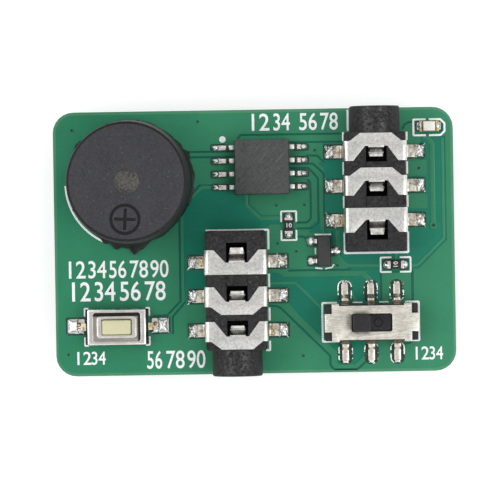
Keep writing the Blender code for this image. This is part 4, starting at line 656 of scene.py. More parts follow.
def rounded(points, radius, closed=False, steps=3):
    """The same corners, each turned into a short arc."""
    corners = [Vector(point) for point in points]
    count = len(corners)
    path = []
    for i, corner in enumerate(corners):
        if not closed and i in (0, count - 1):
            path.append(corner)
            continue
        back = corners[i - 1] - corner
        ahead = corners[(i + 1) % count] - corner
        reach = min(radius, back.length * 0.45, ahead.length * 0.45)
        start = corner + back.normalized() * reach
        end = corner + ahead.normalized() * reach
        for step in range(steps + 1):
            t = step / steps
            path.append(start * (1 - t) ** 2 + corner * 2 * t * (1 - t) + end * t * t)
    return [tuple(point) for point in path]


def cross_section(width, low, high, shoulder):
    """The closed outline of a line's section, with sloping shoulders."""
    half = width / 2
    curve = bpy.data.curves.new("section", "CURVE")
    curve.dimensions = "2D"
    spline = curve.splines.new("POLY")
    outline = [
        (-half, low), (half, low), (half, high - shoulder / 2),
        (half - shoulder, high), (shoulder - half, high), (-half, high - shoulder / 2),
    ]
    spline.points.add(len(outline) - 1)
    for point, (x, y) in zip(spline.points, outline):
        point.co = (x, y, 0, 1)
    spline.use_cyclic_u = True
    obj = bpy.data.objects.new("section", curve)
    bpy.context.scene.collection.objects.link(obj)
    return obj


def line(points, width, low=ROOT, high=COPPER, shoulder=0.03, closed=False, bend=0.12):
    """A line swept along the points with a flat section, as a closed mesh."""
    path = rounded(points, bend, closed) if len(points) > 2 else points
    obj = draw(path)
    if closed:
        bpy.ops.mesh.select_all(action="SELECT")
        bpy.ops.mesh.edge_face_add()
        bpy.ops.mesh.delete(type="ONLY_FACE")
    bpy.ops.object.mode_set(mode="OBJECT")
    pick(obj)
    bpy.ops.object.convert(target="CURVE")
    section = cross_section(width, low, high, shoulder)
    obj.data.dimensions = "3D"
    obj.data.twist_mode = "Z_UP"
    obj.data.bevel_mode = "OBJECT"
    obj.data.bevel_object = section
    obj.data.use_fill_caps = True
    pick(obj)
    bpy.ops.object.convert(target="MESH")
    bpy.data.objects.remove(section)
    clean(obj, 0.0005, 0.01)
    face_outwards(obj)
    return obj


def subtract(obj, cutter):
    """Cuts the cutter's shape out of a piece. A cut that leaves nothing stops the script."""
    cut = obj.modifiers.new("cut", "BOOLEAN")
    cut.operation = "DIFFERENCE"
    cut.solver = "EXACT"
    cut.object = cutter
    bake(obj)
    bpy.data.objects.remove(cutter)
    if not obj.data.polygons:
        raise RuntimeError(f"the cut left nothing of {obj.name}")


# %% [markdown]
# ## The solids that keep their shape
# Parts hidden inside the buzzer and the switches keep the CAD solid as it is, with their
# own finish. The parts in view get a bench copy whose edges are rounded, because light
# catches a rounded edge and a knife edge looks like cardboard.

# %% Finishes for the hidden solids
HIDDEN = {
    "buzzer_base": PHENOLIC,
    "buzzer_coil": COIL_WIRE,
    "buzzer_core": SOFT_IRON,
    "buzzer_magnet": FERRITE,
    "slide_switch_back_bridge": SPRING_STEEL,
    "slide_switch_front_bridge": SPRING_STEEL,
}
for node, look in HIDDEN.items():
    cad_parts[node].data.materials.clear()
    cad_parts[node].data.materials.append(look)
print("hidden solids:", len(HIDDEN))

# %% [markdown]
# ## One list of dressed solids
# Each solid in view needs its finishes, a width of rounding and the record's slot. One
# table holds them, and its order is the order of the pieces. Where a row has several
# finishes, the next step's shaping says which faces get which.

# %% Finish, rounding and slot of each solid in view
JACK_MIDDLES = {"output_jack": 11.72, "paddle_jack": -1.72}
CONTACTS = ("sleeve", "ring", "tip")
DRESSED = {
    "buzzer_case": ([BUZZER_PLASTIC, BLACK_MARKS_AND_PAINTED_SHADE, BUZZER_WALL_PAINTED_SHADE], 0.06, "black_moulding"),
    "buzzer_diaphragm": (DIAPHRAGM, 0.02, "diaphragm_steel"),
    "slide_switch_base": (SWITCH_PLASTIC, 0.05, "black_moulding"),
    "slide_switch_cover": ([COVER_STEEL, BLACK_MARKS_AND_PAINTED_SHADE], 0.07, "nickel"),
    "tact_switch_base": (SWITCH_PLASTIC, 0.04, "black_moulding"),
    "tact_switch_cover": (DRAWN_STEEL_PAINTED_SHADE, 0.06, "nickel"),
    "chip_body": (CHIP_EPOXY, 0.06, "chip_moulding"),
    "transistor_body": (TRANSISTOR_EPOXY, 0.05, "chip_moulding"),
    "led_base": (LED_LAMINATE, 0.02, "led_laminate"),
    "led_lens": (LENS, 0.06, "led_lens"),
    "cell_retainer": (SPRING_STEEL, 0.06, "spring_steel"),
}
for jack, middle in JACK_MIDDLES.items():
    nose = nose_plastic(f"jack nose at {middle}", middle)
    DRESSED[jack + "_body"] = ([JACK_PLASTIC, nose], 0.05, "black_moulding")
    for part in CONTACTS:
        DRESSED[f"{jack}_{part}_contact"] = (
            [NICKEL, TONGUE, STAINED, TONGUE_PAINTED_SHADE], 0.06, "nickel")
for number in range(1, 9):
    DRESSED[f"chip_lead_{number}"] = ([MATT_TIN, DARK_TIN], 0.03, "tin")
for number in (1, 2):
    DRESSED[f"resistor_{number}_body"] = (RESISTOR_GLAZE, 0.02, "resistor_ceramic")
    for end in ("first", "second"):
        DRESSED[f"resistor_{number}_{end}_cap"] = (TIN, 0.05, "tin")
for part in ("base", "emitter", "collector"):
    DRESSED[f"transistor_{part}_lead"] = (TIN, 0.02, "tin")
for side in ("left", "right"):
    DRESSED[f"led_{side}_terminal"] = (GOLD, 0.02, "gold_plate")
    DRESSED[f"tact_switch_{side}_pin"] = (WORN_GOLD, 0.03, "gold_plate")
for row in ("front", "back"):
    for column in ("left", "middle", "right"):
        DRESSED[f"slide_switch_{row}_{column}_pin"] = (CREAM_TIN, 0.07, "tin")
for pole in ("positive", "negative"):
    DRESSED[f"buzzer_pin_{pole}"] = (TIN, 0.05, "tin")
DRESSED["slide_switch_slider"] = ([], 0.09, "black_moulding")
DRESSED["tact_switch_button"] = (CREAM_PLASTIC, 0.08, "cream_plastic")
DRESSED["coin_cell"] = (CELL_CAN, 0.1, "cell_steel")
MOVING = {
    "slide_switch_slider": "slide_knob",
    "tact_switch_button": "push_button",
    "coin_cell": "loose_cell",
}
print("dressed solids:", len(DRESSED))

# %% [markdown]
# ## Shaping what the solids leave plain
# The buzzer's case draws in towards its top, so that it leaves its mould. The jacks' spring
# tongues taper. Small parts get painted shade on some edges, walls and slopes, darker slopes
# on the chip's leads, and stained feet. These are moves of a copy's own corners, and a finish
# for the faces that lie in one place.

# %% The buzzer's case


def dress_buzzer(piece):
    """Draws in the case towards its top, darkens its pressed mark, paints shade on rim and wall.
    """
    axis = middle_of("buzzer_case")
    core, draft = 5.6, 0.45
    foot, tall, mark_floor = 5.7, 8.96, 14.4
    for vertex in piece.data.vertices:
        out = Vector((vertex.co.x - axis.x, vertex.co.y - axis.y))
        if out.length > core:
            rise = (vertex.co.z - foot) / tall
            drawn = core + (out.length - core) * (1 - draft * rise)
            vertex.co.x = axis.x + out.x / out.length * drawn
            vertex.co.y = axis.y + out.y / out.length * drawn
    sunk = [
        face for face in piece.data.polygons
        if mark_floor < face.center.z < 14.655
        and abs(face.center.x - axis.x) < 1.7 and 0.7 < face.center.y < 4.0
    ]
    for face in sunk:
        face.material_index = 1
    middle = sum((face.center for face in sunk), Vector()) / len(sunk)
    for vertex in piece.data.vertices:
        out = vertex.co - middle
        if out.xy.length < 1.8 and vertex.co.z > mark_floor:
            turned = out.xy @ Matrix.Rotation(math.radians(3), 2)
            vertex.co.x = middle.x + turned.x * 0.95 - 0.18
            vertex.co.y = middle.y + turned.y * 0.95
    # Painted shade: the rounded rim of the top is black, and the side wall darker.
    paint(piece, 1, lambda at, n: (
        at.z > 14.56 and 0.1 < n.z < 0.97 and (at - axis).xy.length > 5.4))
    paint(piece, 2, lambda at, n: abs(n.z) < 0.5 and (at - axis).xy.length > 5.4)


# %% The jacks


def narrow(piece, middle):
    """Draws in the jack's right side by 0.2 mm. The end of a foot there keeps its place."""
    start, span, foot_end = 0.9, 2.1, 4.23
    for vertex in piece.data.vertices:
        out = vertex.co.x - middle
        if out > start:
            vertex.co.x -= 0.2 * min(1, (out - start) / span, max(0, foot_end - out))


def dress_contact(piece, middle):
    """Tapers the bright spring tongue towards its free end, with painted shade on its falling
    slope. Flux has stained the feet.
    """
    side = 1 if middle > 0 else -1
    half_wide, strap_top = 0.78, 10.07
    tongue = [
        vertex for vertex in piece.data.vertices
        if abs(vertex.co.x - middle) < half_wide and vertex.co.z < strap_top
    ]
    free_end = min(vertex.co.y * side for vertex in tongue)
    for vertex in tongue:
        near = max(0, 1 - (vertex.co.y * side - free_end) / 0.45)
        vertex.co.x = middle + (vertex.co.x - middle) * (1 - 0.3 * near * near)
    paint(piece, 1, lambda at, n: abs(at.x - middle) < half_wide and 9.0 < at.z < strap_top)
    # Painted shade on the tongue's falling slope.
    paint(piece, 3, lambda at, n: (
        abs(at.x - middle) < half_wide and 9.3 < at.z < 10.02 and n.y * side < -0.3))
    paint(piece, 2, lambda at, n: at.z < 5.6)
    narrow(piece, middle)


def dress_jack(piece, middle):
    """Two fine grooves run on from the windows' sides, where the core pin's slide parted."""
    side = 1 if middle > 0 else -1
    for x in (middle - 1, middle + 1):
        subtract(piece, line([(x, side * 3.2), (x, side * 8.0)], 0.07, 4.94, 5.2, 0.001))
    # The nose gets its plastic with painted sheen and painted shade.
    paint(piece, 1, lambda at, n: at.y * side > 10.45)
    narrow(piece, middle)


# %% The small parts


def dress_window(piece):
    """Paints shadow on the cut edge of the slide switch's window."""
    paint(piece, 1, lambda at, n: (
        at.z > 7.9 and 9.08 < at.x < 13.12 and -8.84 < at.y < -6.97 and n.z < 0.99))


def dress_light(piece, along, across):
    """Makes one of the power light's parts a little smaller than its solid."""
    middle = middle_of("led_base")
    for vertex in piece.data.vertices:
        vertex.co.x = middle.x + (vertex.co.x - middle.x) * along
        vertex.co.y = middle.y + (vertex.co.y - middle.y) * across


def dress_lead(piece):
    """Darkens the lead's slope, between its bright shoulder and its foot."""
    paint(piece, 1, lambda at, n: 5.42 < at.z < 6.2)


def dress_slider(piece):
    """Adds a ring to the top of the slide's knob. The plate round the knob gets painted shade."""
    ring = line(ring_of((11.75, -7.88), 0.4, 24), 0.13, 2.72, 2.765, 0.01, True, 0.01)
    # A join keeps the finishes apart only where both meshes already have the same ones.
    for part in (piece, ring):
        for look in (KNOB_PLASTIC, PLATE_PLASTIC_PAINTED_SHADE, BLACK_MARKS_AND_PAINTED_SHADE):
            part.data.materials.append(look)
    # Painted shade on the plate, which lies lower in the window than the knob's top.
    paint(piece, 1, lambda at, n: at.z < 7.95)
    paint(ring, 2, lambda at, n: True)
    merge_into(piece, ring)


# %% Rounded and finished copies
SHAPING = {
    "buzzer_case": dress_buzzer,
    "slide_switch_cover": dress_window,
    "slide_switch_slider": dress_slider,
    "led_lens": lambda piece: dress_light(piece, 0.92, 0.86),
}
for part in ("base", "left_terminal", "right_terminal"):
    SHAPING["led_" + part] = lambda piece: dress_light(piece, 0.95, 0.84)
for jack, middle in JACK_MIDDLES.items():
    SHAPING[jack + "_body"] = lambda piece, middle=middle: dress_jack(piece, middle)
    for part in CONTACTS:
        SHAPING[f"{jack}_{part}_contact"] = (
            lambda piece, middle=middle: dress_contact(piece, middle))
for number in range(1, 9):
    SHAPING[f"chip_lead_{number}"] = dress_lead
for node, (looks, width, slot) in DRESSED.items():
    piece = on_bench(node)
    soften(piece, width)
    if node in SHAPING:
        SHAPING[node](piece)
    body = MOVING.get(node, "board_assembly")
    finish_piece(piece, node + "_dressed", looks, body, [node])
print("shaped solids:", len(SHAPING))

# %% [markdown]
# ## The dome that gives the click
# Under the button lies a thin spring dome, which flattens when the button is pressed. It
# rides on the board.

# %% Click dome
low, high = node_box("tact_switch_dome")
middle = middle_of("tact_switch_dome")
dome = on_bench("tact_switch_dome")
finish_piece(dome, "tact_switch_dome_dressed", SPRING_STEEL,
             stands_for=["tact_switch_dome"])
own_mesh(dome)

# %% [markdown]
# ## The buzzer's resin
# The potting resin squeezes out under the case and dries in lumps, most of them at the
# front and the right. A scan of lumps could be sculpted by hand. Here the shore line is a
# ring plus one bell curve for each lump, extruded, rounded and displaced by a clouds
# texture, which keeps it one closed skin.

# %% Lumpy resin foot
# Each lump is an angle in degrees, a reach beyond the ring, and a spread in degrees.
LUMPS = [
    (144, 0.28, 5), (36, 0.12, 5), (25, 0.42, 5), (14, 0.24, 6), (4, 0.24, 6), (-8, 0.24, 6),
    (-18, 0.14, 5), (247, 0.40, 4), (258, 0.62, 4.5), (266, 0.3, 3), (273.5, 0.98, 3.4),
    (280, 0.62, 3), (285, 0.2, 3),
]
resin_middle = middle_of("buzzer_resin")
shore = []
for degree in range(0, 360, 2):
    turn = math.radians(degree)
    reach = (6.0 + 0.03 * math.sin(math.radians(degree * 11))
             + 0.02 * math.sin(math.radians(degree * 23)))
    for angle, lump, spread in LUMPS:
        off = (degree - angle + 180) % 360 - 180
        reach += lump * math.exp(-(off / spread) ** 2)
    shore.append((resin_middle.x + reach * math.cos(turn),
                  resin_middle.y + reach * math.sin(turn)))
resin = slab(shore, 0.02, 0.5)
soften(resin, 0.14, 3)
lumpy = bpy.data.textures.new("resin lumps", "CLOUDS")
lumpy.noise_scale = 0.45
ripple = resin.modifiers.new("lumps", "DISPLACE")
ripple.texture = lumpy
ripple.texture_coords = "GLOBAL"
ripple.strength = 0.2
ripple.mid_level = 0.45
bake(resin)
# The underside, which the lumps have moved too, is pressed flat again.
for vertex in resin.data.vertices:
    if vertex.co.z < BOARD_TOP + 0.14:
        vertex.co.z = BOARD_TOP + 0.02
finish_piece(resin, "buzzer_resin_dressed", RESIN,
             stands_for=["buzzer_resin"], angle=60)
print("resin:", len(shore), "points round")

# %% [markdown]
# ## The bare board
# The board's solid is right as it is. Only its faces differ: the upper and lower faces
# carry mask, and the edge and the holes show the cut laminate.

# %% Board faces
board = on_bench("circuit_board")
paint(board, 1, lambda at, n: abs(n.z) <= 0.5)
finish_piece(board, "circuit_board_dressed", [MASK_ON_LAMINATE, LAMINATE_EDGE],
             stands_for=["circuit_board"])
print("board faces:", len(board.data.polygons))

# %% [markdown]
# ## Where the feet stand
# Each foot stands on a bare, tinned pad. The mask keeps clear of a pad by a hair, so every
# pad has a dark border, and painted shadow darkens it further. One list of pads therefore
# serves three steps: the clearances cut in the copper, the pads themselves, and the solder
# on them. Their places come from the solids, so that a pad is always under its foot. Only
# the three rows of the jacks' feet are written down, as distances from the board's middle.

# %% The jacks' pads, as middle and size
SIDES = {"left": -1, "right": 1}
FOOT_ROWS = {"sleeve": 8.5, "ring": 5.2, "tip": 1.9}
PADS = {}
for jack, back in (("output_jack", 1), ("paddle_jack", -1)):
    for contact in CONTACTS:
        low, high = node_box(f"{jack}_{contact}_contact")
        for word, side in SIDES.items():
            foot_x = (low.x + high.x) / 2 + side * ((high.x - low.x) / 2 - 0.48)
            # The pads on the side of the other jack reach further out.
            further, wide = (0.16, 1.94) if side == -back else (0.09, 1.8)
            PADS[f"{jack}_{contact}_{word}"] = (
                foot_x + side * further, back * FOOT_ROWS[contact], wide, 1.3)

# %% The other pads
for number in range(1, 9):
    middle = middle_of(f"chip_lead_{number}")
    side = -1 if number < 5 else 1
    PADS[f"chip_{number}"] = (middle.x + side * 0.68 - 0.2, middle.y, 1.3, 0.52)
for row, side in (("back", 1), ("front", -1)):
    for column in ("left", "middle", "right"):
        low, high = node_box(f"slide_switch_{row}_{column}_pin")
        foot_y = (high.y if side > 0 else low.y) - side * 0.72
        PADS[f"slide_{row}_{column}"] = ((low.x + high.x) / 2, foot_y, 1.14, 1.9)
for word, side in SIDES.items():
    low, high = node_box(f"tact_switch_{word}_pin")
    foot_x = (low.x if side < 0 else high.x) + side * 0.05
    shift = 0.15 if side > 0 else 0.06
    PADS[f"tact_{word}"] = (foot_x + shift, (low.y + high.y) / 2 + 0.1, 1.75, 1.5)
for number, along in ((1, "y"), (2, "x")):
    for word in ("first", "second"):
        middle = middle_of(f"resistor_{number}_{word}_cap")
        other = middle_of(f"resistor_{number}_body")
        out = (middle - other).normalized() * 0.12
        size = (0.9, 0.75) if along == "y" else (0.75, 0.9)
        PADS[f"resistor_{number}_{word}"] = (middle.x + out.x, middle.y + out.y, *size)
for part in ("base", "emitter", "collector"):
    low, high = node_box(f"transistor_{part}_lead")
    tip = high.x - 0.1 if part == "collector" else low.x + 0.1
    PADS[f"transistor_{part}"] = (tip, (low.y + high.y) / 2, 0.85, 0.8)
for word, side in SIDES.items():
    middle = middle_of(f"led_{word}_terminal")
    PADS[f"led_{word}"] = (middle.x + side * 0.05, middle.y, 0.6, 0.8)
print("pads:", len(PADS))

# %% [markdown]
# ## The copper pour
# Most of the board is one sheet of copper under the mask. Traces are cut free by narrow
# channels, and a few areas have no copper at all. The sheet is an outline extruded by the
# copper's height, and each channel or bare area is a cutter that a Boolean takes out.

# %% Bare areas and channels
BARE_AREAS = [
    [
        (-6.8, -5.8), (-6.8, 3.9), (-6.05, 4.65), (-5.15, 5.6), (-1.7, 5.6), (-1.7, 4.7),
        (-0.4, 4.7), (-0.4, 3.62), (0.75, 2.55), (2.7, 2.55), (2.7, 1.62), (1.5, 1.62),
        (1.2, 1.3), (1.2, 0.9), (-4.6, 0.9), (-4.6, -5.8),
    ],
    [
        (1.25, -3.0), (2.15, -3.05), (2.8, -3.45), (10.45, -3.45), (10.8, -3.0),
        (12.15, -3.0), (12.15, -6.3), (10.3, -6.3), (10.3, -11.2), (9.5, -11.95),
        (8.0, -11.95), (7.8, -11.75), (7.8, -10.75), (3.95, -6.85), (3.3, -6.1),
        (3.3, -4.6), (1.25, -4.6),
    ],
    [(8.15, -1.2), (8.15, -1.75), (9.0, -2.62), (9.0, -2.95), (12.2, -2.95), (12.2, -1.2)],
    [
        (12.1, -1.2), (12.1, -2.98), (15.2, -2.98), (15.2, -2.85), (15.75, -2.85),
        (18.5, -0.1), (18.5, 9.9), (16.1, 9.9), (16.1, 7.65), (14.8, 7.65), (14.8, -1.2),
    ],
    [(15.6, 10.05), (18.05, 10.05), (18.35, 10.35), (18.35, 11.1), (18.05, 11.42), (15.6, 11.42)],
    [(6.8, -0.9), (6.8, 6.95), (8.9, 6.95), (8.9, -0.9)],
    [(6.25, 7.45), (6.85, 6.95), (8.9, 6.95), (8.9, 9.5), (6.8, 9.5), (6.8, 7.6)],
    [(5.3, 0.8), (5.3, 1.35), (6.2, 2.0), (6.2, 2.2), (6.4, 2.2), (6.4, 0.8)],
]
CHANNELS = [
    (0.17, [(-7.2, 3.1), (-7.2, -5.6), (-8.5, -6.95), (-9.9, -7.0)]),
    (0.17, [(-6.75, -5.7), (-7.98, -7.1), (-7.98, -8.78)]),
    (0.17, [(-6.3, 8.72), (-1.7, 8.72)]),
    (0.17, [(-6.3, 8.2), (-1.7, 8.2)]),
    (0.17, [(-1.5, 9.9), (-1.2, 10.27), (9.0, 10.27)]),
    (0.15, [(3.5, 9.5), (9.0, 9.5)]),
    (0.17, [(-5.15, 5.55), (-6.2, 4.45)]),
    (0.17, [(4.1, 1.77), (5.1, 1.77), (5.47, 2.14), (5.47, 5.6), (5.2, 5.9)]),
    (0.17, [(3.4, 7.42), (5.72, 7.42), (6.3, 6.9), (6.75, 6.45), (6.75, 0.9)]),
    (0.17, [(3.4, 7.02), (5.3, 7.02), (6.2, 6.0), (6.2, 1.7), (5.5, 1.2), (4.1, 1.2)]),
    (0.17, [(5.1, 8.2), (6.15, 8.2), (6.85, 7.5)]),
    (0.17, [(4.1, 0.42), (4.75, 0.42), (5.1, 0.1)]),
    (0.17, [(3.2, -2.83), (9.2, -2.83)]),
    (0.17, [(1.3, -6.17), (2.1, -6.25), (2.5, -6.5), (7.12, -11.1), (7.12, -12.0),
            (7.5, -12.42), (9.75, -12.42), (10.5, -11.75)]),
    (0.2, [(12.1, -3.0), (12.1, -6.4)]),
    (0.2, [(15.13, -2.9), (15.13, -6.4)]),
    (0.17, [(12.2, -3.1), (15.1, -3.1)]),
    (0.15, [(14.4, 10.6), (14.55, 11.0), (14.95, 11.25), (15.5, 11.3)]),
    (0.15, [(7.5, -0.9), (7.5, 0.9)]),
    (0.15, [(14.2, -10.05), (14.8, -9.95), (15.4, -9.5)]),
]
print("to cut:", len(BARE_AREAS), "areas,", len(CHANNELS), "channels,", len(PADS), "pads")

# %% [markdown]
# ## Vias
# A via is a small plated hole that joins the copper of the two faces. Its place serves
# twice: the pour is pierced there, and a ring and a plug are set there later.

# %% Places of the vias
VIAS = [
    (-17.4, 10.95), (-5.3, 11.63), (-18.07, -10.6), (5.93, 8.7), (15.9, 6.83), (2.14, 3.47),
    (4.85, 3.47), (17.23, 1.33), (4.52, -11.04), (2.2, -0.2), (4.0, -1.0), (7.95, -2.4),
]
VIA_IN_PATCH, LARGE_VIA = VIAS[4], VIAS[7]
print("vias:", len(VIAS))

# %% [markdown]
# ## Cutting the pour
# A cutter reaches well above and below the copper, so that no two faces lie in one plane,
# which is what confuses a Boolean most. Every cut edge is then rounded a little and gets
# a paler mask: partly the mask thinning out over an edge, partly a painted highlight.
# A channel is cut a little wider than the mask that pools in it.

# %% Cut the pour
MARGIN = 0.13


def through_copper(points):
    """A cutter with this outline that reaches through the copper."""
    return slab(points, -0.2, 0.2)


def via_hole(via):
    """A cutter for the hole of this via."""
    return through_copper(ring_of(via, 0.13, 10))


pour_outline = rectangle(0, 0, 37.96, 24.84, 1.72, steps=8)
pour = slab(pour_outline, ROOT, COPPER)
for area in BARE_AREAS:
    subtract(pour, through_copper(area))
for width, points in CHANNELS:
    subtract(pour, line(points, width + 0.05, -0.19, 0.21, 0.001))
for name, (x, y, width, depth) in PADS.items():
    corner = 0.6 if name.startswith("slide") else 0.15
    border = rectangle(x, y, width + 2 * MARGIN, depth + 2 * MARGIN, corner)
    subtract(pour, through_copper(border))
for via in VIAS:
    subtract(pour, via_hole(via))
clean(pour, 0.02, 0.05)
copper = sum(face.area for face in pour.data.polygons if face.normal.z > 0.98)
print("pour:", len(pour.data.vertices), "corners and", round(copper), "square mm")
soften(pour, 0.03, 1, 50)
# The sloping edges get the paler mask, partly thinned and partly painted highlight.
paint(pour, 1, lambda at, n: n.z < 0.98)
finish_piece(pour, "copper_pour", [MASK_ON_COPPER, MASK_ON_EDGES_PAINTED_HIGHLIGHT])

# %% [markdown]
# ## Mask where there is no copper
# The mask pools in the channels, where it is dark. Round the board's border it is paler,
# as painted light coming through the laminate's edge. Each is a thin film a few microns
# above the laminate.

# %% Pooled mask and rim
FILM = 0.006
pools = [line(points, width, ROOT, FILM, 0.001) for width, points in CHANNELS]
finish_piece(merge_into(*pools), "pooled_mask", MASK_IN_CHANNELS)
# The rim's paler mask is painted light, as if the laminate's edge let light through.
rim = slab(rectangle(0, 0, 38.46, 25.36, 2.0), ROOT, FILM)
subtract(rim, through_copper(pour_outline))
finish_piece(rim, "board_rim", MASK_AT_RIM_PAINTED_LIGHT)
print("pools:", len(pools))

# %% [markdown]
# ## Free traces
# Inside the bare areas run thin traces. Each is a line swept with a low section whose
# shoulders slope, as the mask runs over them. A few wider patches stand among them.

# %% Traces
TRACES = [
    (0.28, [(-0.75, 4.6), (-0.75, 3.5), (0.55, 2.23), (2.7, 2.23)]),
    (0.22, [(-3.9, 5.28), (-5.05, 5.28), (-5.95, 4.4)]),
    (0.2, [(1.3, -4.03), (3.85, -4.03), (6.45, -6.6)]),
    (0.42, [(10.2, -3.2), (10.55, -3.3), (11.15, -3.95)]),
    (0.22, [(8.0, -1.3), (8.2, -1.75), (8.95, -2.42), (12.2, -2.45)]),
    (0.2, [(15.0, -2.5), (15.62, -2.5), (18.22, 0.05), (18.22, 9.7)]),
    (0.42, [(16.4, 9.95), (16.75, 9.8), (17.24, 9.2), (17.24, 1.45)]),
    (0.3, [(9.15, -4.9), (9.6, -5.9)]),
    (0.2, [(13.6, -1.2), (13.6, -2.0)]),
    (0.32, [(6.55, 2.3), (6.55, 0.7)]),
    (0.4, [(8.05, -0.9), (8.05, 0.95)]),
]
PATCHES = [
    [(14.8, 6.1), (16.7, 6.1), (16.7, 7.6), (14.8, 7.6)],
    [(14.8, 2.95), (16.7, 2.95), (16.7, 4.4), (14.8, 4.4)],
    [(14.8, 9.0), (15.9, 9.0), (16.15, 9.55), (15.7, 9.95), (14.8, 10.0)],
]
# A trace is a hair lower than the pour, so that no two faces lie in one plane.
TRACE_TOP = COPPER - 0.002
strips = [line(points, width, high=TRACE_TOP) for width, points in TRACES]
patches = [slab(area, ROOT, TRACE_TOP) for area in PATCHES]
subtract(patches[0], via_hole(VIA_IN_PATCH))
traces = merge_into(*strips, *patches)
# The sloping edges get the paler mask, partly thinned and partly painted highlight.
paint(traces, 1, lambda at, n: n.z < 0.98)
finish_piece(traces, "copper_traces", [MASK_ON_COPPER, MASK_ON_EDGES_PAINTED_HIGHLIGHT])
print("traces:", len(TRACES), "and patches:", len(PATCHES))

# %% [markdown]
# ## Via rings and plugs
# A via is a plated hole under the mask: a small raised ring with a pit in it, and a plug
# whose dark colour is painted shade. One ring is made from a torus pressed flat, and copied
# to every via.

# %% Vias
# The plug's dark colour is painted shade in the via's pit.
look = Finish("via pit, painted shade", (0.010, 0.035, 0.025), 0.5)
pit_shade = look.noise(0.1, 2)
look.colour(look.ramp(pit_shade, (0.3, (0.004, 0.035, 0.026)), (0.7, (0.02, 0.10, 0.07))))
look.bump(look.noise(0.06, 2), 0.01)
VIA_PIT_PAINTED_SHADE = look.material
let_go()
bpy.ops.mesh.primitive_torus_add(
    major_segments=24, minor_segments=8, major_radius=0.2, minor_radius=0.06,
    location=(0, 0, BOARD_TOP + COPPER - 0.004))
first_ring = bpy.context.object
bpy.ops.object.mode_set(mode="EDIT")
bpy.ops.transform.resize(value=(1, 1, 0.35))
bpy.ops.object.mode_set(mode="OBJECT")
settle(first_ring)
rings, plugs = [], []
for via in VIAS:
    pick(first_ring)
    bpy.ops.object.duplicate()
    ring = bpy.context.object
    grown = 1.45 if via == LARGE_VIA else 1.0
    ring.scale = (grown, grown, 1)
    ring.location = (*via, 0)
    settle(ring)
    rings.append(ring)
    plugs.append(slab(ring_of(via, 0.145, 12), -BOARD_TOP + BOARD_UNDER + 0.03, -0.04))
bpy.data.objects.remove(first_ring)
finish_piece(merge_into(*rings), "via_rings", MASK_ON_COPPER)
finish_piece(merge_into(*plugs), "via_plugs", VIA_PIT_PAINTED_SHADE)
print("rings:", len(rings))

# %% [markdown]
# ## Pads
# A pad is a thin tinned tablet with its corners cut, a touch lower than the mask beside it.

# %% Tinned pads
tablets = []
for name, (x, y, width, depth) in PADS.items():
    if name.startswith(("slide", "resistor", "transistor")):
        continue
    tablet = slab(rectangle(x, y, width * 0.94, depth * 0.92, 0.12), ROOT, COPPER * 0.7)
    soften(tablet, 0.02, 1)
    tablets.append(tablet)
finish_piece(merge_into(*tablets), "tinned_pads", TIN)
print("tablets:", len(tablets))

# %% [markdown]
# ## Rims round the slide switch's pads
# These pads are long ovals. The solder has drawn back to the pin and to a broken bright
# line round the border, with dark flux between, which painted shadow darkens further. A
# closed line gives the border, and a noise that switches between solder and flux breaks it.

# %% Oval rims
look = Finish("broken solder border", (0.95, 0.95, 0.94), 0.25, 0.6)
breaks = look.noise(0.36, 2, 0.5, 0.3)
look.colour(look.ramp(breaks, (0.50, (0.02, 0.07, 0.045)), (0.54, (0.95, 0.95, 0.92))))
look.bump(breaks, 0.03, 0.8)
BROKEN_RIM = look.material
look = Finish("dark flux and painted shadow", (0.020, 0.045, 0.030), 0.3)
blotch = look.noise(0.3, 3)
look.colour(look.ramp(blotch, (0.35, (0.007, 0.030, 0.020)), (0.65, (0.025, 0.085, 0.055))))
look.bump(look.noise(0.2, 2), 0.02, 0.6)
DARK_FLUX_AND_PAINTED_SHADOW = look.material
# Each floor is a dark border round a pad: partly flux and bare laminate, partly painted shadow.
rims, floors = [], []
for name, (x, y, width, depth) in PADS.items():
    if name.startswith("slide"):
        oval = rectangle(x, y, width + 0.14, depth + 0.12, 0.52)
        rims.append(line(oval, 0.1, -0.01, 0.09, 0.03, closed=True, bend=0.02))
        floors.append(slab(rectangle(x, y, width + 0.1, depth + 0.1, 0.5), ROOT, 0.02))
    else:
        floors.append(slab(rectangle(x, y, width + 0.2, depth + 0.2, 0.22), ROOT, 0.015))
finish_piece(merge_into(*rims), "slide_pad_rims", BROKEN_RIM)
finish_piece(merge_into(*floors), "dark_flux_and_painted_shadow", DARK_FLUX_AND_PAINTED_SHADOW)
print("rims:", len(rims), "and floors of flux:", len(floors))

# %% [markdown]
# ## Solder
# Solder climbs the end of each foot and hollows out towards the pad's corners, so its
# outline is pinched between them. A grid is raised into a mound, pinched at its sides or
# drawn round, wrinkled by a clouds texture and closed underneath. Each mound gets its own
# wrinkles, because the texture is read where the mound lies.

# %% Solder mounds
wrinkles = bpy.data.textures.new("wrinkles", "CLOUDS")
wrinkles.noise_scale = 0.24
wrinkles.noise_depth = 2


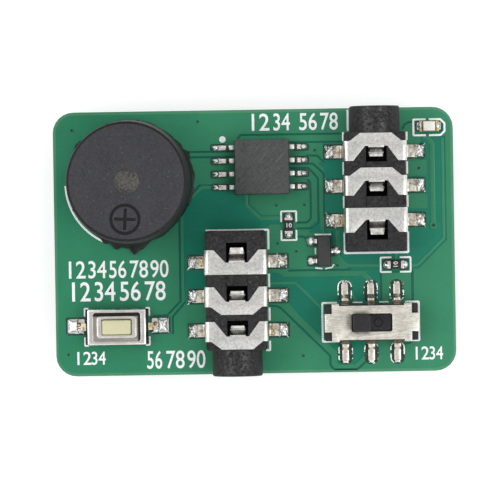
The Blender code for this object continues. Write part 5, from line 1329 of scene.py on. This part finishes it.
def mound(x, y, width, depth, height, pinch=0.0, lean=(0, 0), rough=0.1,
          ball=False, steps=14):
    """A closed mound on the board at x, y. Lean moves its crown, ball makes it round."""
    let_go()
    bpy.ops.mesh.primitive_grid_add(x_subdivisions=steps, y_subdivisions=steps, size=2)
    obj = bpy.context.object
    for vertex in obj.data.vertices:
        u, v, _ = vertex.co
        if ball:
            across = u * math.sqrt(1 - v * v / 2)
            deep = v * math.sqrt(1 - u * u / 2)
            dome = max(0.0, 1 - across ** 2 - deep ** 2) ** 0.5
        else:
            across = u * (1 - pinch * (1 - v * v))
            deep = v * (1 - pinch * (1 - u * u))
            dome = max(0.0, (1 - u ** 4) * (1 - v ** 4)) ** 0.6
        slope = max(0.1, 1 + lean[0] * u + lean[1] * v)
        vertex.co = (x + across * width / 2, y + deep * depth / 2,
                     BOARD_TOP + COPPER * 0.6 + height * dome * slope)
    ripple = obj.modifiers.new("wrinkles", "DISPLACE")
    ripple.texture = wrinkles
    ripple.texture_coords = "GLOBAL"
    ripple.strength = rough
    ripple.mid_level = 0.5
    bake(obj)
    bpy.ops.object.mode_set(mode="EDIT")
    bpy.ops.mesh.select_all(action="SELECT")
    bpy.ops.mesh.extrude_region_move(TRANSFORM_OT_translate={"value": (0, 0, -0.3)})
    bpy.ops.transform.resize(value=(1, 1, 0), center_override=(x, y, BOARD_TOP + 0.01))
    face_outwards(obj)
    return obj


# %% [markdown]
# ## One shape of solder for each family of feet
# A jack's foot has a broad sloping mound with two beads in it, a chip lead a small round
# cap, and a push button's pin a wedge and a low skirt. Each function gets a pad's name
# and place, and returns the mounds on it. Side is the way out from the part.

# %% Solder by family


def jack_solder(name, x, y):
    """A broad mound with two beads, which change places on the ring's pads."""
    side = 1 if name.endswith("right") else -1
    turn = 1 if "ring" in name else -1
    return [
        mound(x + side * 0.45, y, 1.0, 1.5, 0.36, pinch=0.2, lean=(-0.2 * side, 0.1), rough=0.4),
        mound(x + side * 0.7, y - 0.35 * turn, 0.55, 0.55, 0.5,
              lean=(0.2 * side, -0.3), rough=0.25, ball=True, steps=10),
        mound(x + side * 0.35, y + 0.45 * turn, 0.4, 0.5, 0.55,
              lean=(0.1, 0.2), rough=0.2, ball=True, steps=8),
    ]


def chip_solder(name, x, y):
    """A small round cap at the end of a lead."""
    side = -1 if int(name[-1]) < 5 else 1
    return [mound(x + side * 0.26, y, 0.8, 0.56, 0.4, lean=(-0.2 * side, 0), rough=0.03,
                  ball=True)]


def slide_solder(name, x, y):
    """A low bank beyond the end of a slide switch's pin."""
    side = 1 if "back" in name else -1
    return [mound(x, y + side * 0.82, 0.72, 0.35, 0.2, pinch=0.2, lean=(0, -0.4 * side))]


def tact_solder(name, x, y):
    """A wedge against the push button's pin, and a low skirt in front of it."""
    side = 1 if name.endswith("right") else -1
    return [
        mound(x + side * 0.26, y, 1.3, 1.66, 0.36, pinch=0.34, lean=(-0.5 * side, 0)),
        mound(x - side * 0.35, y - 0.42, 1.1, 0.7, 0.2, pinch=0.1, lean=(0.3 * side, 0.4),
              rough=0.14),
    ]


def resistor_solder(name, x, y):
    """A round mound that leans a little away from the resistor's middle."""
    middle = middle_of(name[:10] + "_body")
    out = (Vector((x, y)) - Vector(middle.xy)).normalized() * 0.1
    lies_along_x = abs(out.x) > abs(out.y)
    wide, deep = (0.72, 0.78) if lies_along_x else (0.78, 0.72)
    return [mound(x + out.x, y + out.y, wide, deep, 0.52, rough=0.08, ball=True)]


def transistor_solder(name, x, y):
    """A round mound at the lead's tip. The base's one is tall."""
    size, tall = (1.0, 0.62) if name.endswith("base") else (0.84, 0.36)
    out = 0.12 if name.endswith("collector") else -0.14
    return [mound(x + out, y, size, size, tall, rough=0.05, ball=True)]


def led_solder(name, x, y):
    """A round mound against the power light's terminal."""
    side = 1 if name.endswith("right") else -1
    return [mound(x - side * 0.04, y, 0.52, 0.7, 0.46, lean=(-0.2 * side, 0), ball=True)]


# %% Solder on every pad
FAMILIES = {
    "output_jack": jack_solder, "paddle_jack": jack_solder, "chip": chip_solder,
    "slide": slide_solder, "tact": tact_solder, "resistor": resistor_solder,
    "transistor": transistor_solder, "led": led_solder,
}
SOLDERED = {family: [] for family in FAMILIES}
for name, (x, y, _, _) in PADS.items():
    family = next(key for key in FAMILIES if name.startswith(key))
    SOLDERED[family] += FAMILIES[family](name, x, y)
for family, drops in SOLDERED.items():
    look = SOLDER if family.endswith("jack") else BRIGHT_SOLDER
    finish_piece(merge_into(*drops), family + "_solder", look, angle=60)
print("mounds:", sum(len(drops) for drops in SOLDERED.values()))

# %% [markdown]
# ## Amber flux, and necks with a brown tone and painted shade
# Flux boils out of the joint and dries in amber films on some feet, close to the jack. The
# slide switch's pins are darker where they leave the body: partly a brown brass tone, partly
# painted shade. A film is a low mound, and a dark neck is a thin sleeve over the pin.

# %% Flux, and necks with a brown tone and painted shade
# A film is a middle, a size and a height. A bead is a middle.
FILMS = [
    (8.35, 1.9, 0.55, 1.15, 0.27), (8.45, 8.5, 0.25, 0.8, 0.25), (-5.05, -1.9, 0.5, 1.15, 0.27),
    (-4.95, -8.5, 0.22, 0.8, 0.25), (1.6, -8.5, 0.4, 1.1, 0.26),
]
BEADS = [(-17.0, -7.75), (-9.65, -7.75)]
films = [mound(*film, pinch=0.05, rough=0.03) for film in FILMS]
films += [mound(x, y, 0.42, 0.5, 0.36, ball=True, steps=8) for x, y in BEADS]
finish_piece(merge_into(*films), "flux_films", FLUX, angle=60)
necks = []
for column in (8.6, 11.1, 13.6):
    for row in (-5.98, -9.82):
        neck = slab(rectangle(column, row, 0.67, 0.34, 0.03), 0.7, 0.945)
        soften(neck, 0.03, 1)
        necks.append(neck)
finish_piece(merge_into(*necks), "brown_necks_and_painted_shade", BROWN_NECK_AND_PAINTED_SHADE)
print("films and beads:", len(films), "necks:", len(necks))

# %% [markdown]
# ## Solder on the underside
# The photograph doesn't show the underside. The buzzer's pins come through the board there
# and the cell's retainer is soldered on at both ends, so they get a round joint for each
# pin and a fillet along each end. A joint is a mound mirrored through the board.

# %% Underside joints


def turned_under(obj):
    """Mirrors a mound on the upper face to the same place on the underside."""
    for vertex in obj.data.vertices:
        vertex.co.z = BOARD_UNDER - (vertex.co.z - BOARD_TOP)
    face_outwards(obj)
    return obj


joints, lands = [], []
for pole in ("positive", "negative"):
    middle = middle_of(f"buzzer_pin_{pole}")
    reach = BOARD_UNDER - node_box(f"buzzer_pin_{pole}")[0].z
    joint = mound(middle.x, middle.y, 1.9, 1.9, reach * 0.75, rough=0.05, ball=True)
    joints.append(turned_under(joint))
# The retainer's two ends, and the way out from its middle at each.
for end, out in ((-7.85, -1), (17.85, 1)):
    fillet = mound(end + out * 0.12, 0, 0.5, 3.5, 0.36, pinch=0.05, lean=(-0.6 * out, 0),
                   rough=0.06)
    joints.append(turned_under(fillet))
    for y in (-1.6, 1.6):
        fillet = mound(end - out * 0.55, y, 1.4, 0.5, 0.36, pinch=0.05, rough=0.06)
        joints.append(turned_under(fillet))
    land = slab(rectangle(end - out * 0.5, 0, 2.0, 4.4, 0.2), ROOT, 0.012)
    lands.append(turned_under(land))
finish_piece(merge_into(*joints), "underside_solder", SOLDER, angle=60)
finish_piece(merge_into(*lands), "underside_lands", TIN)
print("pins reach", round(reach, 2), "mm under the board; joints:", len(joints))

# %% [markdown]
# ## Printed legend
# The white legend outlines each component, with gaps where the pads are. Each stroke is a
# printed line, swept as the traces are. The buzzer's outline is an arc, and a round dot
# marks where the chip's first lead is.

# %% Legend strokes
WIDE, MIDDLING, NARROW, THIN = 0.2, 0.17, 0.16, 0.14
STROKES = [
    (WIDE, [(9.15, 10.5), (9.15, 12.55)]),
    (WIDE, [(8.68, 9.55), (8.68, 10.4)]),
    (WIDE, [(8.68, 6.3), (8.68, 7.5)]),
    (WIDE, [(8.68, 3.1), (8.68, 4.25)]),
    (WIDE, [(8.68, 0.75), (8.68, -1.24), (14.78, -1.24), (14.78, 0.75)]),
    (WIDE, [(14.78, 3.1), (14.78, 4.25)]),
    (WIDE, [(14.78, 6.3), (14.78, 7.5)]),
    (WIDE, [(14.78, 9.55), (14.78, 10.35)]),
    (WIDE, [(-4.68, 1.13), (1.33, 1.13), (1.33, -0.75)]),
    (WIDE, [(1.33, -3.1), (1.33, -4.4)]),
    (WIDE, [(1.33, -6.35), (1.33, -7.6)]),
    (WIDE, [(1.33, -9.55), (1.33, -10.45), (0.95, -10.45)]),
    (WIDE, [(7.85, -6.02), (6.43, -6.02), (6.43, -9.72), (7.6, -9.72)]),
    (0.12, [(9.35, -6.0), (10.3, -6.0)]),
    (0.12, [(11.9, -6.0), (12.8, -6.0)]),
    (WIDE, [(14.4, -6.02), (15.7, -6.02), (15.7, -9.72), (14.6, -9.72)]),
    (MIDDLING, [(2.6, 1.85), (2.6, 2.87), (4.05, 2.87), (4.05, 1.85)]),
    (MIDDLING, [(2.6, 1.05), (2.6, 0.1), (4.05, 0.1), (4.05, 1.05)]),
    (MIDDLING, [(13.15, -1.72), (12.1, -1.72), (12.1, -3.12), (13.15, -3.12)]),
    (MIDDLING, [(13.95, -1.72), (14.98, -1.72), (14.98, -3.12), (13.95, -3.12)]),
    (0.19, [(16.65, 11.5), (15.45, 11.5), (15.45, 9.98), (16.65, 9.98)]),
    (0.19, [(16.95, 11.5), (18.05, 11.5), (18.45, 11.1), (18.45, 10.35), (18.05, 9.98),
            (16.95, 9.98)]),
    (NARROW, [(-16.1, -6.2), (-16.46, -6.2), (-16.46, -6.95)]),
    (NARROW, [(-16.1, -9.76), (-16.46, -9.76), (-16.46, -8.95)]),
    (NARROW, [(-10.6, -6.2), (-10.24, -6.2), (-10.24, -6.95)]),
    (NARROW, [(-10.6, -9.76), (-10.24, -9.76), (-10.24, -8.95)]),
    (THIN, [(5.8, 0.58), (7.4, 0.58)]),
    (THIN, [(5.85, -0.7), (5.85, -1.3)]),
    (THIN, [(5.8, -2.62), (6.5, -2.7)]),
    (THIN, [(6.75, -2.7), (7.4, -2.6), (7.62, -2.3)]),
]
# The arc in front of the buzzer.
arc_x, arc_y, arc_radius = -11.9, 5.86, 6.2
turns = [math.radians(degree) for degree in range(182, 248, 4)]
STROKES.append((WIDE, [
    (arc_x + arc_radius * math.cos(a), arc_y + arc_radius * math.sin(a)) for a in turns]))
ink = [line(points, width, 0.0, INK_HEIGHT, 0.02, bend=0.06) for width, points in STROKES]
ink.append(slab(ring_of((-2.93, 9.88), 0.31, 24), 0.0, INK_HEIGHT))
finish_piece(merge_into(*ink), "legend_lines", INK)
print("strokes:", len(STROKES))

# %% [markdown]
# ## Plain numbers
# Rows of plain numbers are printed on the board and on the resistors. Blender's own font
# is typed, given the ink's height and made a mesh, and each group is brought to its width.

# %% Plain numbers


def plain_number(text, x, y, height, wide):
    """Plain digits centred on x, y, this tall and wide in millimetres, standing as ink."""
    digit_height, thicken = 0.73, 0.012
    let_go()
    bpy.ops.object.text_add()
    obj = bpy.context.object
    obj.data.body = text
    obj.data.size = height / digit_height
    obj.data.align_x = "CENTER"
    obj.data.align_y = "CENTER"
    obj.data.offset = thicken * height
    obj.data.extrude = INK_HEIGHT / 2
    obj.data.resolution_u = 4
    pick(obj)
    bpy.ops.object.convert(target="MESH")
    obj = bpy.context.object
    obj.scale = (wide / obj.dimensions.x, 1, 1)
    obj.location = (x, y, BOARD_TOP + INK_HEIGHT / 2)
    settle(obj)
    clean(obj, 0.0005, 0.01)
    return obj


# Each row: its middle's y, its height, and its groups as digits, middle x and width.
NUMBERS = [
    (11.38, 1.7, [("12", 0.58, 1.7), ("34", 2.76, 1.6), ("56", 5.32, 1.7), ("78", 7.34, 1.7)]),
    (-2.55, 1.72, [("12", -17.28, 1.6), ("34", -15.2, 1.75), ("56", -13.22, 1.65),
                   ("78", -11.18, 1.75), ("90", -9.2, 1.75)]),
    (-4.68, 1.92, [("1", -17.5, 0.28), ("2", -16.35, 1.0), ("34", -14.5, 2.0),
                   ("56", -12.05, 2.0), ("78", -9.65, 2.0)]),
    (-11.05, 1.3, [("12", -16.7, 1.35), ("34", -15.2, 1.35)]),
    (-11.32, 1.76, [("56", -9.8, 1.45), ("78", -7.8, 1.75), ("90", -5.78, 1.75)]),
    (-11.05, 1.3, [("12", 15.85, 1.3), ("34", 17.3, 1.3)]),
]
digits = [
    plain_number(text, x, y, height, wide)
    for y, height, groups in NUMBERS for text, x, wide in groups
]
resistor_top = node_box("resistor_1_body")[1].z
for x, y, turn in ((3.3, 1.5, 0), (13.55, -2.42, 90)):
    mark = plain_number("10", 0, 0, 0.42, 0.5)
    mark.rotation_euler.z = math.radians(turn)
    mark.location = (x, y, resistor_top - BOARD_TOP - 0.04)
    settle(mark)
    digits.append(mark)
finish_piece(merge_into(*digits), "plain_numbers", INK)
print("numbers:", len(digits))

# %% [markdown]
# ## Light, floor and camera
# The photograph looks straight down from about 0.4 m through a long lens. The world gives
# most of the light evenly, and two wide lamps at the sides give the bright lines along the
# bent metal. The floor is white to the camera and still takes the object's shadow.

# %% World and lamps
world = bpy.data.worlds.new("soft room")
bpy.context.scene.world = world
world.use_nodes = True
nodes, links = world.node_tree.nodes, world.node_tree.links
air = nodes["Background"]
facing = nodes.new("ShaderNodeTexCoord")
height = nodes.new("ShaderNodeSeparateXYZ")
ceiling = nodes.new("ShaderNodeValToRGB")
links.new(facing.outputs["Generated"], height.inputs["Vector"])
links.new(height.outputs["Z"], ceiling.inputs["Fac"])
for element, (at, grey) in zip(ceiling.color_ramp.elements, ((0.82, 0.92), (0.975, 0.55))):
    element.position = at
    element.color = (grey, grey, grey, 1)
links.new(ceiling.outputs["Color"], air.inputs["Color"])
air.inputs["Strength"].default_value = 1.0
LAMPS = [("left lamp", (-0.42, 0.04, 0.40), 0.85), ("right lamp", (0.40, -0.16, 0.40), 1.0)]
for name, place, power in LAMPS:
    light = bpy.data.lights.new(name, "AREA")
    light.shape = "SQUARE"
    light.size = 0.45
    light.energy = power
    lamp = bpy.data.objects.new(name, light)
    lamp.location = place
    lamp.rotation_euler = (-Vector(place)).to_track_quat("-Z", "Y").to_euler()
    bpy.context.scene.collection.objects.link(lamp)
print("lamps:", len(LAMPS))

# %% Floor
let_go()
bpy.ops.mesh.primitive_plane_add(size=1.2)
floor = bpy.context.object
floor.name = "floor"
look = Finish("white floor", (0.66, 0.66, 0.66), 0.9)
look.shader.inputs["Specular IOR Level"].default_value = 0.0
rays = look.node("ShaderNodeLightPath").outputs
seen = look.sums(look.sums(rays["Is Camera Ray"], rays["Is Glossy Ray"], "MAXIMUM"),
                 rays["Is Transmission Ray"], "MAXIMUM")
look.shader.inputs["Emission Color"].default_value = (1, 1, 1, 1)
look.wire(look.sums(seen, 0.5, "MULTIPLY"), look.shader.inputs["Emission Strength"])
floor.data.materials.append(look.material)
print("floor:", round(floor.dimensions.x, 2), "m wide")

# %% Camera
camera_data = bpy.data.cameras.new("camera")
camera_data.lens = 299.2
camera_data.sensor_width = 36
camera_data.clip_start = 0.02
camera_data.clip_end = 5
camera = bpy.data.objects.new("camera", camera_data)
bpy.context.scene.collection.objects.link(camera)
eye = Vector((0.6, 2.1, 405.16)) * MM
aim = Vector((-0.4467, -0.7962, 5.16)) * MM
roll = math.radians(0.924)
ahead = (aim - eye).normalized()
right = ahead.cross(Vector((math.sin(roll), math.cos(roll), 0))).normalized()
up = right.cross(ahead)
turn = Matrix((right, up, -ahead)).transposed().to_4x4()
camera.matrix_world = Matrix.Translation(eye) @ turn
bpy.context.scene.camera = camera
view = bpy.context.scene.view_settings
view.view_transform = "Standard"
print("camera at", [round(x * BENCH, 1) for x in eye], "mm")

# %% Bring the scene up to date
bpy.context.view_layer.update()
